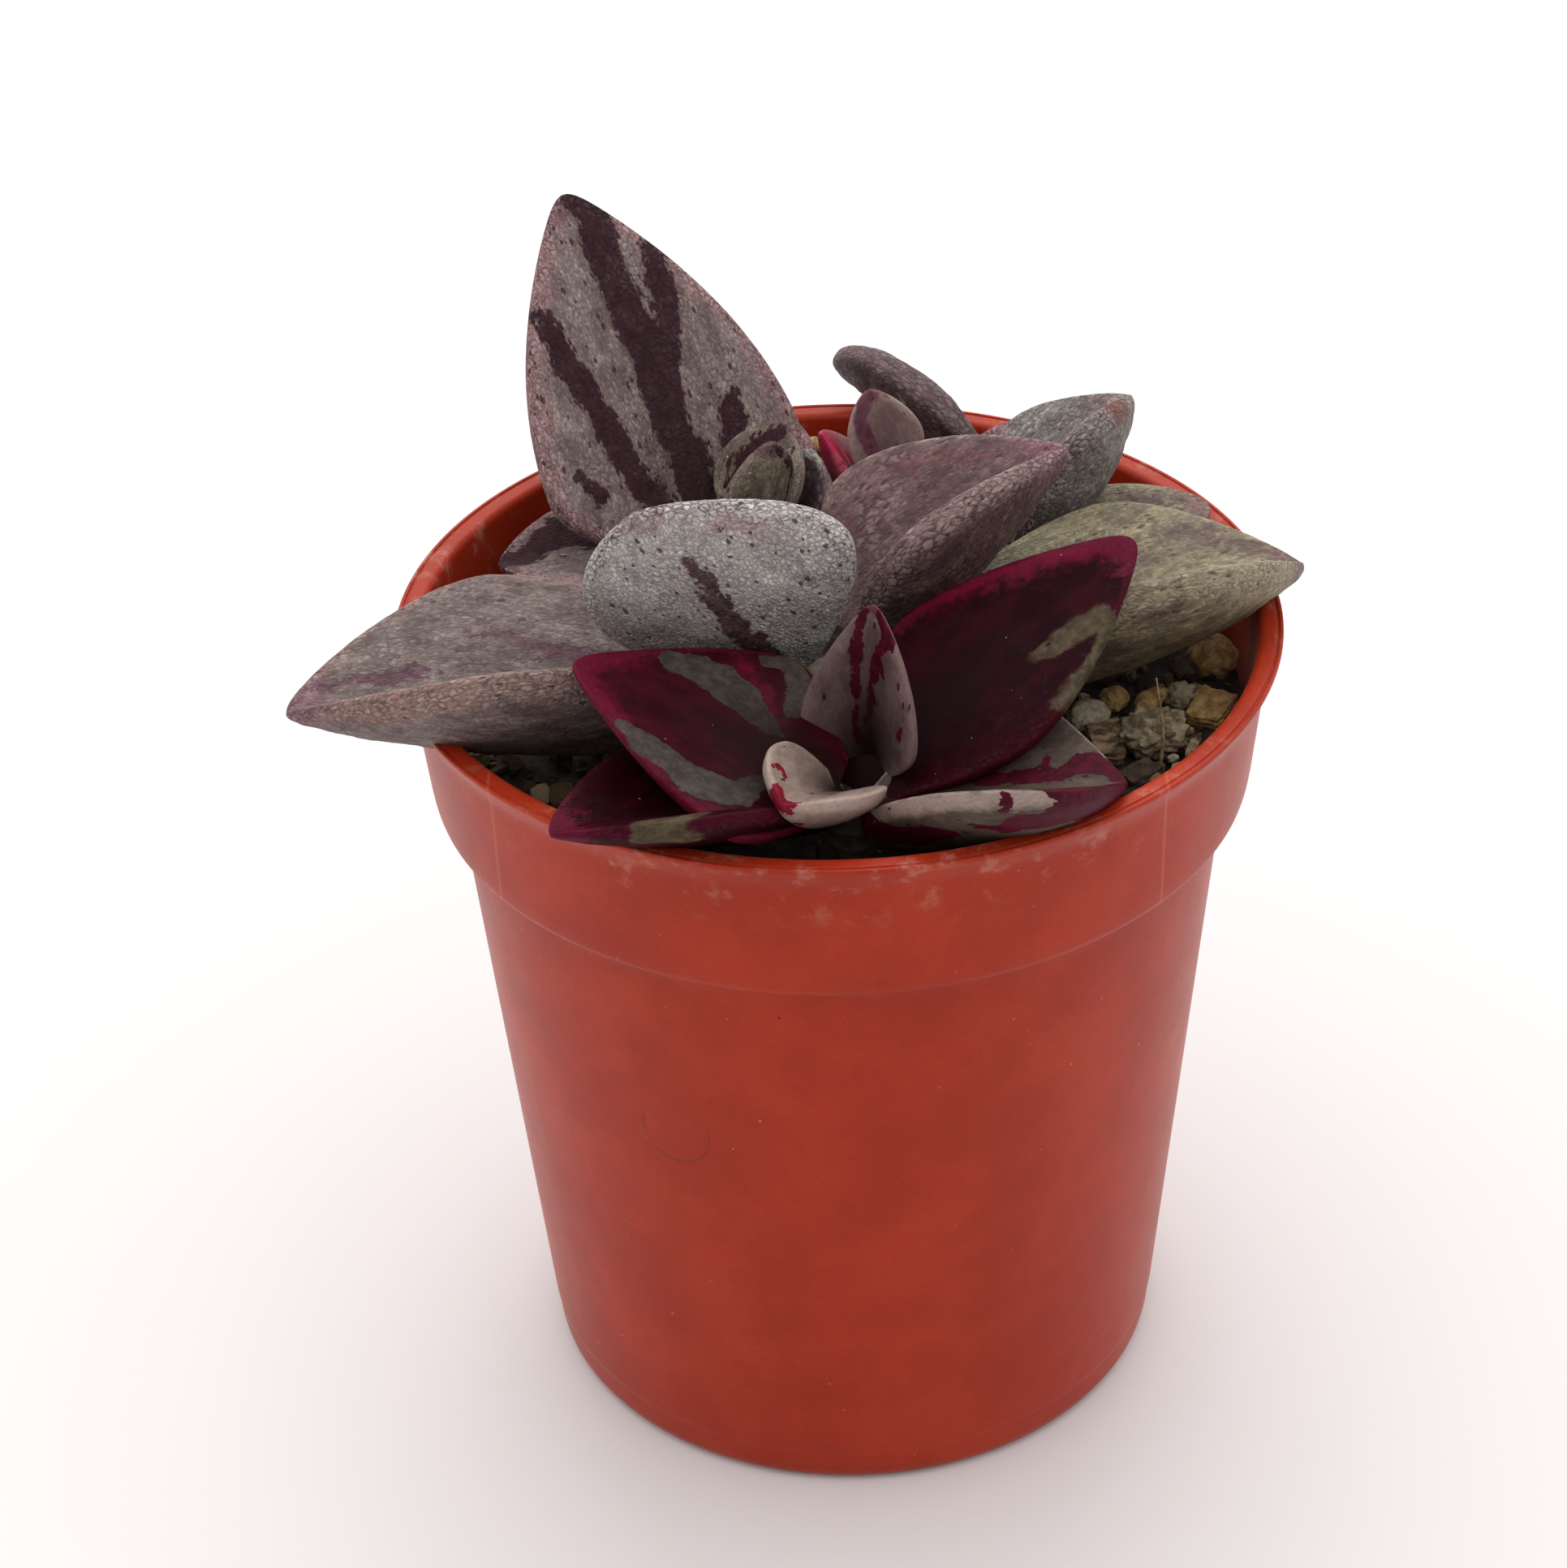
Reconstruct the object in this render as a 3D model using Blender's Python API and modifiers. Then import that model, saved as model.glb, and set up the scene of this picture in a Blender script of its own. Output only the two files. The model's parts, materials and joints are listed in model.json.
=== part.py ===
"""A small potted Lenophyllum, built from its real pieces.

A thin plastic nursery pot is filled with gritty potting mix. Five offsets stand in it, each a
short stem with thick, channelled leaves in opposite pairs. Metres, +Z up. The origin is the
centre of the pot's flat underside, and the side that shows best faces -Y.
"""

import math
import random
from dataclasses import dataclass

import bmesh
import bpy
from mathutils import Matrix, Vector
from mathutils.bvhtree import BVHTree

MM = 0.001

# Pot, in millimetres: radii are measured at the outside unless they say inner.
POT_HEIGHT = 53.7
LIP_RADIUS = 27.5
LIP_FLARE = 1.9
LIP_FLARE_MIDDLE = (26.95, 1.1)
LIP_INNER_RADIUS = 26.0
COLLAR_TOP_RADIUS = 26.6
COLLAR_FOOT_RADIUS = 25.75
COLLAR_DEPTH = 10.3
BODY_TOP_RADIUS = 24.2
FOOT_RADIUS = 20.3
FOOT_ROUND = 1.4
WALL = 1.0
FLOOR = 1.1
POT_SIDES = 48
DRAIN_COUNT = 6
DRAIN_RADIUS = 2.0
DRAIN_RING_RADIUS = 12.5

# Potting mix
CLEARANCE = 0.3
SOIL_LEVEL = 48.6
SOIL_RELIEF = 0.25
SOIL_SIDES = 36
SOIL_RINGS = 5
GRIT_SEED = 11
GRIT_COUNT = 14
GRIT_SPACING = 2.8

# Stems: each stands in a plain hole in the mix.
STEM_DEPTH = 4.0
STEM_TOP_ROUND = 0.7
STEM_SIDES = 16

# Leaf section: how the thickness is shared above and below the fold, and how full its margin is.
UPPER_SHARE = 0.38
LOWER_SHARE = 0.62
MARGIN_POWER = 0.9
FACE_POWER = 0.8
TIP_POWER = 1.15
TIP_THINNING = 0.25
UNFOLDING = 0.35
FOLD_ROUNDING = 0.2
LARGE_LEAF = 18.0
LARGE_LEAF_MESH = (12, 12)
SMALL_LEAF_MESH = (9, 10)


@dataclass(frozen=True)
class Stem:
    """A short upright stem.

    Attributes:
        name: Node name.
        x: Place of its axis, in millimetres to the right.
        y: Place of its axis, in millimetres to the rear.
        top: Height of its tip above the pot's underside, in millimetres.
        radius: Its radius, in millimetres.
    """

    name: str
    x: float
    y: float
    top: float
    radius: float


@dataclass(frozen=True)
class Leaf:
    """A thick leaf, folded along its midrib, that grows from a stem.

    Attributes:
        name: Node name.
        x: Place of its base, in millimetres to the right.
        y: Place of its base, in millimetres to the rear.
        level: Height of its base, in millimetres.
        heading: Direction that it grows in, in degrees anticlockwise from +X.
        rise: Slope of its base, in degrees above level.
        length: Length along the midrib, in millimetres.
        half_width: Half its greatest width, measured along the blade, in millimetres.
        thickness: Greatest thickness, in millimetres.
        fold: Angle that each half of the blade rises from the midrib, in degrees.
        curl: Change of slope from base to tip, in degrees.
        swing: Change of heading from base to tip, in degrees.
        roll: Turn about its own midrib, in degrees.
        widest: Share of the blade's length at which it is widest.
        neck: Width of its base as a share of its greatest width.
        taper: Power of the outline towards the tip, higher for a fuller tip.
        stalk: Length of the narrow base before the blade, in millimetres.
        young: Whether it is one of the smooth young leaves.
    """

    name: str
    x: float
    y: float
    level: float
    heading: float
    rise: float
    length: float
    half_width: float
    thickness: float
    fold: float
    curl: float = 0.0
    swing: float = 0.0
    roll: float = 0.0
    widest: float = 0.5
    neck: float = 0.26
    taper: float = 1.9
    stalk: float = 0.0
    young: bool = False


@dataclass(frozen=True)
class Lump:
    """A stone or a chip that lies in the surface of the mix.

    Attributes:
        x: Place, in millimetres to the right.
        y: Place, in millimetres to the rear.
        rise: Height of its centre above the mix, in millimetres.
        size: Length, width and height, in millimetres.
        turn: Heading of its length, in degrees.
        tilt: Slope of its length, in degrees.
    """

    x: float
    y: float
    rise: float
    size: tuple[float, float, float]
    turn: float = 0.0
    tilt: float = 0.0


STEMS = (
    Stem("stem_middle", x=-0.2, y=-4.9, top=53.0, radius=2.0),
    Stem("stem_rear_left", x=-6.4, y=8.8, top=53.2, radius=1.5),
    Stem("stem_right", x=10.2, y=6.6, top=52.4, radius=1.4),
    Stem("stem_rear", x=6.3, y=17.5, top=52.0, radius=1.4),
    Stem("stem_front", x=0.7, y=-17.2, top=52.2, radius=1.8),
)

# Where two leaves press together, the one further down this list gives way.
LEAVES = (
    # Front offset: the centre pair, the pair above the soil, and the pair on the lip.
    Leaf(
        "leaf_front_centre_near", x=0.3, y=-17.9, level=52.2, heading=245, rise=25, length=10.0,
        half_width=4.4, thickness=2.4, fold=45, curl=9, swing=2, roll=-12,
        widest=0.45, neck=0.2, taper=2.4, young=True,
    ),
    Leaf(
        "leaf_front_centre_far", x=2.1, y=-15.2, level=52.3, heading=72, rise=89, length=11.3,
        half_width=4.6, thickness=1.7, fold=36, swing=7, roll=-17,
        widest=0.3, neck=0.21, taper=1.57, young=True,
    ),
    Leaf(
        "leaf_front_left", x=-0.3, y=-18.8, level=53.1, heading=169, rise=22.6, length=17.1,
        half_width=8.0, thickness=2.2, fold=10, curl=9, swing=2, roll=-8,
        widest=0.31, neck=0.32, taper=1.4, young=True,
    ),
    Leaf(
        "leaf_front_low_right", x=1.6, y=-19.7, level=51.2, heading=-11, rise=7, length=15.3,
        half_width=9.7, thickness=3.3, fold=46, curl=7, swing=22, roll=-9,
        widest=0.54, neck=0.29, taper=2.05, young=True,
    ),
    Leaf(
        "leaf_front_right", x=0.9, y=-17.0, level=51.9, heading=33, rise=27.3, length=22.5,
        half_width=6.5, thickness=2.4, fold=11, curl=1, swing=-1.4, roll=10,
        widest=0.42, neck=0.25, taper=1.63, young=True,
    ),
    Leaf(
        "leaf_front_low_left", x=-1.3, y=-18.6, level=51.0, heading=205, rise=20, length=17.4,
        half_width=6.8, thickness=2.5, fold=34, curl=-10, roll=9,
        widest=0.51, neck=0.29, taper=1.56, young=True,
    ),
    # Middle offset: a raised pair over a long low pair that reaches across the lip.
    Leaf(
        "leaf_middle_left", x=-2.7, y=-5.5, level=53.7, heading=226, rise=53, length=19.7,
        half_width=8.4, thickness=3.4, fold=13, swing=-3, roll=45,
        widest=0.47, neck=0.24, taper=2.0,
    ),
    Leaf(
        "leaf_middle_right", x=1.5, y=-3.2, level=53.5, heading=31, rise=39, length=17.4,
        half_width=9.9, thickness=4.3, fold=48, curl=-9, swing=-10, roll=-18,
        widest=0.39, neck=0.29, taper=1.8,
    ),
    Leaf(
        "leaf_middle_long_right", x=2.3, y=-6.2, level=50.1, heading=13, rise=13, length=28.4,
        half_width=10.0, thickness=4.4, fold=49, curl=-5, swing=8, roll=-13,
        widest=0.64, neck=0.24, taper=1.8,
    ),
    Leaf(
        "leaf_middle_long_left", x=-2.2, y=-6.9, level=50.2, heading=189, rise=12, length=31.5,
        half_width=10.4, thickness=4.6, fold=50, curl=-5, swing=2, roll=9,
        widest=0.59, neck=0.25, taper=1.56,
    ),
    # Right offset
    Leaf(
        "leaf_right_upper", x=11.9, y=7.4, level=53.5, heading=42, rise=35, length=12.4,
        half_width=6.5, thickness=3.5, fold=56, curl=3, swing=3, roll=-28,
        widest=0.54, neck=0.27, taper=1.86,
    ),
    Leaf(
        "leaf_right_side", x=9.0, y=6.7, level=50.6, heading=16, rise=14, length=16.1,
        half_width=4.5, thickness=2.6, fold=19, roll=15, widest=0.52, taper=2.0,
    ),
    Leaf(
        "leaf_right_inner", x=9.3, y=8.2, level=52.0, heading=122, rise=30, length=8.0,
        half_width=3.3, thickness=2.2, fold=18,
    ),
    # Rear left offset: the tall leaf, three inner leaves and two low ones.
    Leaf(
        "leaf_tall", x=-8.0, y=9.8, level=52.3, heading=123, rise=50, length=25.2,
        half_width=9.4, thickness=3.0, fold=5, curl=2, swing=2, roll=1,
        widest=0.26, neck=0.2, taper=1.84,
    ),
    Leaf(
        "leaf_rear_left_inner_near", x=-5.7, y=7.2, level=52.9, heading=-57, rise=66, length=11.2,
        half_width=2.7, thickness=1.7, fold=19, curl=14, roll=5,
        widest=0.51, neck=0.55, taper=2.25, stalk=2.0,
    ),
    Leaf(
        "leaf_rear_left_inner_far", x=-5.7, y=9.0, level=53.2, heading=58, rise=60, length=8.6,
        half_width=3.4, thickness=1.9, fold=20, curl=-4, swing=-2, roll=-4,
        widest=0.47, neck=0.28, taper=2.4, stalk=0.9,
    ),
    Leaf(
        "leaf_rear_left_inner_right", x=-4.4, y=9.4, level=51.8, heading=38, rise=52, length=8.1,
        half_width=3.2, thickness=2.0, fold=15, curl=14, swing=10, roll=1,
        widest=0.53, taper=2.0, stalk=1.3,
    ),
    Leaf(
        "leaf_rear_left_side", x=-8.5, y=9.5, level=51.0, heading=182, rise=11, length=13.2,
        half_width=5.8, thickness=2.6, fold=28, curl=-6, swing=3, roll=-4, widest=0.48,
    ),
    Leaf(
        "leaf_rear_left_low", x=-6.3, y=10.3, level=50.7, heading=75, rise=22, length=13.0,
        half_width=4.2, thickness=2.6, fold=20, curl=5,
    ),
    # Rear offset: three leaves that stand up and two low ones behind.
    Leaf(
        "leaf_rear_centre", x=5.0, y=16.2, level=52.1, heading=163, rise=67, length=8.6,
        half_width=2.6, thickness=1.8, fold=17, curl=8, swing=-9, roll=-50,
        widest=0.48, stalk=1.4, young=True,
    ),
    Leaf(
        "leaf_rear_wide", x=9.9, y=19.6, level=53.3, heading=140, rise=39, length=14.1,
        half_width=2.6, thickness=3.0, fold=7, curl=-56, swing=-10, roll=60.5,
        widest=0.45, neck=0.4, taper=2.6,
    ),
    Leaf(
        "leaf_rear_near", x=4.3, y=16.4, level=50.4, heading=182, rise=42, length=9.3,
        half_width=4.4, thickness=1.8, fold=7, curl=29, swing=31, roll=-13.5, young=True,
    ),
    Leaf(
        "leaf_rear_low_right", x=8.2, y=16.5, level=51.5, heading=-30, rise=28, length=7.8,
        half_width=2.8, thickness=2.0, fold=18, curl=5,
    ),
    Leaf(
        "leaf_rear_low_far", x=8.4, y=18.1, level=50.9, heading=42, rise=29, length=7.6,
        half_width=2.5, thickness=2.0, fold=17, curl=5, roll=-6,
    ),
)

STONES = (
    Lump(23.5, 0.7, 0.9, (3.2, 3.1, 2.8), turn=70),
    Lump(15.3, -5.3, 0.7, (2.8, 2.5, 1.8), turn=20),
    Lump(17.0, -3.3, 0.5, (1.8, 1.7, 1.6)),
    Lump(19.1, -3.8, 0.5, (3.0, 1.5, 1.4), turn=50),
    Lump(19.0, -8.1, 1.2, (4.9, 3.6, 3.0), turn=10),
    Lump(21.3, -3.0, 0.6, (2.6, 2.2, 1.9), turn=15),
    Lump(-1.1, 24.0, 1.8, (1.9, 1.9, 4.8)),
    Lump(16.6, 16.7, 0.8, (2.6, 2.4, 2.4), turn=30),
    Lump(16.3, 17.0, 2.2, (1.9, 1.7, 1.6)),
    Lump(10.1, 21.8, 0.1, (1.3, 1.2, 1.1)),
    Lump(-22.0, -7.5, 0.4, (1.6, 1.4, 1.2)),
)

CHIPS = (
    Lump(22.9, -4.6, 0.6, (3.0, 2.3, 1.1), turn=60, tilt=12),
    Lump(16.1, -8.5, 0.6, (2.6, 1.9, 1.0), turn=100, tilt=15),
)


def polar(radius, angle):
    """Point at a radius and an angle in degrees, in the ground plane."""
    return Vector((radius * math.cos(math.radians(angle)), radius * math.sin(math.radians(angle)), 0.0))


def material(name, color, roughness):
    """A plain Principled material."""
    made = bpy.data.materials.new(name)
    made.use_nodes = True
    shader = made.node_tree.nodes["Principled BSDF"]
    shader.inputs["Base Color"].default_value = (*color, 1.0)
    shader.inputs["Roughness"].default_value = roughness
    return made


def clear_scene():
    """Removes whatever the file opened with."""
    for obj in list(bpy.data.objects):
        bpy.data.objects.remove(obj, do_unlink=True)


def add_collection(name):
    """A new collection in the scene."""
    made = bpy.data.collections.new(name)
    bpy.context.scene.collection.children.link(made)
    return made


def move_to(obj, collection):
    """Puts an object in one collection only."""
    for owner in list(obj.users_collection):
        owner.objects.unlink(obj)
    collection.objects.link(obj)
    return obj


def as_cutter(obj):
    """Marks an object as one that only cuts."""
    obj.hide_render = True
    obj.display_type = "WIRE"
    return obj


def turned(name, profile, sides, collection, look=None):
    """A profile of (radius, height) points in millimetres, turned about the Z axis.

    The profile runs down the outer side, so that the faces point out.
    """
    mesh = bpy.data.meshes.new(name)
    points = [(radius * MM, 0.0, height * MM) for radius, height in profile]
    mesh.from_pydata(points, [(n, n + 1) for n in range(len(points) - 1)], [])
    obj = bpy.data.objects.new(name, mesh)
    collection.objects.link(obj)
    screw = obj.modifiers.new("turn", "SCREW")
    screw.steps = sides
    screw.render_steps = sides
    screw.use_merge_vertices = True
    screw.merge_threshold = 0.00001
    screw.use_smooth_shade = True
    if look is not None:
        mesh.materials.append(look)
    return obj


def as_mesh(obj):
    """Replaces an object's mesh with what its modifiers make of it."""
    graph = bpy.context.evaluated_depsgraph_get()
    baked = bpy.data.meshes.new_from_object(obj.evaluated_get(graph))
    obj.modifiers.clear()
    obj.data = baked
    return obj


def boolean(obj, operation, collection):
    """Joins to an object, or cuts from it, every object of a collection."""
    step = obj.modifiers.new(operation.lower(), "BOOLEAN")
    step.operation = operation
    step.operand_type = "COLLECTION"
    step.collection = collection
    step.solver = "EXACT"


def cylinder_cutter(name, radius, low, high, place, collection):
    """An upright cylinder that only cuts."""
    bpy.ops.mesh.primitive_cylinder_add(
        vertices=STEM_SIDES,
        radius=radius * MM,
        depth=(high - low) * MM,
        location=(place.x * MM, place.y * MM, (low + high) / 2 * MM),
    )
    obj = bpy.context.object
    obj.name = name
    return as_cutter(move_to(obj, collection))


def inner_radius(height):
    """Inner radius of the pot's wall at a height."""
    step = POT_HEIGHT - COLLAR_DEPTH
    if height < step:
        share = (height - FLOOR) / (step - FLOOR)
        return FOOT_RADIUS - WALL + share * (BODY_TOP_RADIUS - FOOT_RADIUS)
    share = (height - step) / COLLAR_DEPTH
    return COLLAR_FOOT_RADIUS - WALL + share * (LIP_INNER_RADIUS - COLLAR_FOOT_RADIUS + WALL)


def build_pot(collection, cutters):
    """The pot: one thin turned wall with a collar that flares to its lip, and drain holes in its floor."""
    step = POT_HEIGHT - COLLAR_DEPTH
    flare_foot = POT_HEIGHT - LIP_FLARE
    middle_radius, middle_drop = LIP_FLARE_MIDDLE
    arc = [math.radians(angle) for angle in (0, 30, 60, 90)]
    foot = [
        (FOOT_RADIUS - FOOT_ROUND * (1 - math.cos(turn)), FOOT_ROUND * (1 - math.sin(turn))) for turn in arc
    ]
    profile = [
        (0.0, FLOOR),
        (inner_radius(FLOOR) - 0.8, FLOOR),
        (inner_radius(FLOOR + 0.8), FLOOR + 0.8),
        (inner_radius(step - 0.4), step - 0.4),
        (inner_radius(step + 0.4), step + 0.4),
        (inner_radius(flare_foot), flare_foot),
        (LIP_INNER_RADIUS, POT_HEIGHT - 0.25),
        (LIP_INNER_RADIUS + 0.25, POT_HEIGHT),
        (LIP_RADIUS - 0.3, POT_HEIGHT),
        (LIP_RADIUS, POT_HEIGHT - 0.3),
        (middle_radius, POT_HEIGHT - middle_drop),
        (COLLAR_TOP_RADIUS, flare_foot),
        (COLLAR_FOOT_RADIUS, step + 0.5),
        (COLLAR_FOOT_RADIUS - 0.5, step),
        (BODY_TOP_RADIUS + 0.25, step - 0.25),
        (BODY_TOP_RADIUS, step - 0.7),
        *foot,
        (0.0, 0.0),
    ]
    look = material("terracotta_plastic", (0.36, 0.055, 0.028), 0.42)
    pot = turned("pot", profile, POT_SIDES, collection, look)
    for count in range(DRAIN_COUNT):
        place = polar(DRAIN_RING_RADIUS, 360 / DRAIN_COUNT * (count + 0.5))
        cylinder_cutter(f"drain_{count}", DRAIN_RADIUS, -1.0, FLOOR + 1.0, place, cutters)
    boolean(pot, "DIFFERENCE", cutters)
    return pot


def soil_height(x, y):
    """Height of the loose mix at a place, in millimetres."""
    wave = math.sin(0.9 * x + 0.4) * math.cos(0.7 * y - 0.8) + 0.6 * math.sin(0.5 * x - 1.1 * y + 2.0)
    return SOIL_LEVEL + SOIL_RELIEF * wave / 1.6


def seat_lump(obj, lump, seed, roughness, collection):
    """Shapes a solid one unit across into a lump, and seats it in the mix.

    Args:
        obj: The solid.
        lump: Place and size.
        seed: Seed of its unevenness.
        roughness: Furthest move of a corner, as a share of the size.
        collection: Collection that it goes to.
    """
    draw = random.Random(seed)
    for vertex in obj.data.vertices:
        moved = (value / MM + draw.uniform(-roughness, roughness) for value in vertex.co)
        vertex.co = Vector(value * size * MM for value, size in zip(moved, lump.size))
    turn = Matrix.Rotation(math.radians(lump.turn), 4, "Z")
    tilt = Matrix.Rotation(math.radians(-lump.tilt), 4, "Y")
    place = Vector((lump.x, lump.y, soil_height(lump.x, lump.y) + lump.rise)) * MM
    obj.matrix_world = Matrix.Translation(place) @ turn @ tilt
    move_to(obj, collection)


def scattered_grit(leaf_points):
    """Small stones by a seeded draw, where no leaf or named lump is close.

    Args:
        leaf_points: Points on the leaves, in millimetres.

    Returns:
        The lumps.
    """
    draw = random.Random(GRIT_SEED)
    taken = [Vector((thing.x, thing.y)) for thing in STONES + CHIPS + STEMS]
    lumps = []
    while len(lumps) < GRIT_COUNT:
        size = draw.uniform(1.5, 2.4)
        reach = inner_radius(SOIL_LEVEL) - 0.6 * size - 0.5
        place = polar(reach * math.sqrt(draw.random()), draw.uniform(0, 360)).to_2d()
        if any((place - other).length < GRIT_SPACING for other in taken):
            continue
        top = SOIL_LEVEL + SOIL_RELIEF + 0.5 * size
        if any((point.to_2d() - place).length < size and point.z < top + 1.0 for point in leaf_points):
            continue
        taken.append(place)
        form = (size, size * draw.uniform(0.75, 0.95), size * draw.uniform(0.6, 0.8))
        lumps.append(Lump(place.x, place.y, 0.1 * size, form, draw.uniform(0, 180)))
    return lumps


def build_soil(collection, leaf_points):
    """The mix: a filling with an uneven top, its stones and chips joined on, and a hole for each stem."""
    low = FLOOR + CLEARANCE
    step = POT_HEIGHT - COLLAR_DEPTH
    gap = CLEARANCE + 0.1
    edge = inner_radius(SOIL_LEVEL) - gap
    profile = [(edge * count / SOIL_RINGS, SOIL_LEVEL) for count in range(SOIL_RINGS + 1)]
    profile += [
        (inner_radius(step + 0.5) - gap, step + 0.5),
        (inner_radius(step - 0.5) - gap, step - 0.5),
        (inner_radius(low + 1.5) - gap, low + 1.5),
        (inner_radius(low) - 1.2, low),
        (0.0, low),
    ]
    look = material("potting_mix", (0.03, 0.018, 0.011), 0.95)
    soil = as_mesh(turned("soil", profile, SOIL_SIDES, collection, look))
    for vertex in soil.data.vertices:
        if vertex.co.z > (SOIL_LEVEL - 0.1) * MM:
            vertex.co.z = soil_height(vertex.co.x / MM, vertex.co.y / MM) * MM
    lumps = add_collection("lumps")
    for seed, lump in enumerate([*STONES, *scattered_grit(leaf_points)]):
        bpy.ops.mesh.primitive_ico_sphere_add(subdivisions=2, radius=0.5 * MM)
        seat_lump(bpy.context.object, lump, seed, 0.05, lumps)
    for seed, lump in enumerate(CHIPS):
        bpy.ops.mesh.primitive_cube_add(size=1.0 * MM)
        seat_lump(bpy.context.object, lump, seed, 0.12, lumps)
    boolean(soil, "UNION", lumps)
    as_mesh(soil)
    for obj in list(lumps.objects):
        bpy.data.objects.remove(obj, do_unlink=True)
    holes = add_collection("stem_holes")
    for stem in STEMS:
        foot = SOIL_LEVEL - STEM_DEPTH - CLEARANCE
        cylinder_cutter(
            f"hole_of_{stem.name}", stem.radius + CLEARANCE, foot, SOIL_LEVEL + 3.0, stem, holes
        )
    boolean(soil, "DIFFERENCE", holes)
    return soil


def build_stem(stem, collection, look):
    """A stem with a rounded tip, standing in its hole."""
    foot = SOIL_LEVEL - STEM_DEPTH
    shoulder = []
    for angle in (0, 45, 90):
        turn = math.radians(angle)
        inset = STEM_TOP_ROUND * (1 - math.sin(turn))
        drop = STEM_TOP_ROUND * (1 - math.cos(turn))
        shoulder.append((stem.radius - inset, stem.top - drop))
    profile = [(0.0, stem.top), *shoulder, (stem.radius, foot), (0.0, foot)]
    obj = turned(stem.name, profile, STEM_SIDES, collection, look)
    obj.location = (stem.x * MM, stem.y * MM, 0.0)
    return obj


def blade_share(leaf, share):
    """Share of the blade's length that a share of the whole length reaches."""
    return max(share * leaf.length - leaf.stalk, 0.0) / (leaf.length - leaf.stalk)


def outline(leaf, share):
    """Half width at a share of the blade's length, as a share of the greatest."""
    if share < leaf.widest:
        return leaf.neck + (1 - leaf.neck) * math.sin(math.pi / 2 * share / leaf.widest)
    past = (share - leaf.widest) / (1 - leaf.widest)
    return max(1 - past**leaf.taper, 0.0) ** (1 / TIP_POWER)


def leaf_frame(leaf, share):
    """Directions at a share of the length, for a leaf heading along +X.

    Returns:
        The directions along the midrib, across the blade to its left and out of its upper face.
    """
    slope = math.radians(leaf.rise + leaf.curl * share)
    heading = math.radians(leaf.swing * share)
    along = Vector((math.cos(slope) * math.cos(heading), math.cos(slope) * math.sin(heading), math.sin(slope)))
    level = Vector((-math.sin(heading), math.cos(heading), 0.0))
    turn = Matrix.Rotation(math.radians(leaf.roll), 3, along)
    return along, turn @ level, turn @ along.cross(level)


def midrib(leaf, share, steps=40):
    """Point of the midrib at a share of the length, in millimetres from the leaf's base."""
    point = Vector((0.0, 0.0, 0.0))
    for count in range(steps):
        middle = share * (count + 0.5) / steps
        point += leaf_frame(leaf, middle)[0] * (leaf.length * share / steps)
    return point


def leaf_section(leaf, share, sides):
    """Points round the leaf at a share of its length, in millimetres from its base."""
    centre = midrib(leaf, share)
    _, across, up = leaf_frame(leaf, share)
    blade = blade_share(leaf, share)
    width = leaf.half_width * outline(leaf, blade)
    swell = min(1.0, (width / leaf.half_width) ** 0.75)
    thickness = min(leaf.thickness * swell * (1 - TIP_THINNING * blade), 1.7 * width)
    fold = math.radians(leaf.fold) * (1 - UNFOLDING * blade)
    points = []
    for count in range(sides):
        angle = 2 * math.pi * count / sides
        side = math.copysign(abs(math.cos(angle)) ** MARGIN_POWER, math.cos(angle))
        full = math.copysign(abs(math.sin(angle)) ** FACE_POWER, math.sin(angle))
        lift = math.sqrt(side**2 + FOLD_ROUNDING**2) - FOLD_ROUNDING
        height = width * lift * math.sin(fold)
        height += full * thickness * (UPPER_SHARE if full > 0 else LOWER_SHARE)
        points.append(centre + across * (width * side * math.cos(fold)) + up * height)
    return points


def build_leaf(leaf, collection, look):
    """One leaf, lofted through its sections from a flat base to a rounded tip."""
    large = leaf.length >= LARGE_LEAF
    sections, sides = LARGE_LEAF_MESH if large else SMALL_LEAF_MESH
    shares = [1 - (1 - count / sections) ** 1.25 for count in range(sections)]
    mesh = bpy.data.meshes.new(leaf.name)
    shape = bmesh.new()
    rings = [[shape.verts.new(point * MM) for point in leaf_section(leaf, share, sides)] for share in shares]
    tip = shape.verts.new(midrib(leaf, 1.0) * MM)
    shape.faces.new(reversed(rings[0]))
    for ring, following in zip(rings, rings[1:]):
        for count in range(sides):
            after = (count + 1) % sides
            shape.faces.new((ring[count], ring[after], following[after], following[count]))
    for count in range(sides):
        shape.faces.new((rings[-1][count], rings[-1][(count + 1) % sides], tip))
    bmesh.ops.triangulate(shape, faces=shape.faces, quad_method="SHORT_EDGE")
    bmesh.ops.recalc_face_normals(shape, faces=shape.faces)
    shape.to_mesh(mesh)
    shape.free()
    mesh.materials.append(look)
    obj = bpy.data.objects.new(leaf.name, mesh)
    obj.location = (leaf.x * MM, leaf.y * MM, leaf.level * MM)
    obj.rotation_euler.z = math.radians(leaf.heading)
    collection.objects.link(obj)
    return obj


def leaf_cloud(leaf):
    """Points on a leaf where it stands, in millimetres."""
    place = Matrix.Translation((leaf.x, leaf.y, leaf.level)) @ Matrix.Rotation(
        math.radians(leaf.heading), 4, "Z"
    )
    return [place @ point for step in range(12) for point in leaf_section(leaf, step / 12, 10)]


def surface_tree(obj):
    """Search tree of an object's faces, in world space."""
    shape = bmesh.new()
    shape.from_mesh(obj.data)
    shape.transform(obj.matrix_world)
    tree = BVHTree.FromBMesh(shape)
    shape.free()
    return tree


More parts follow.
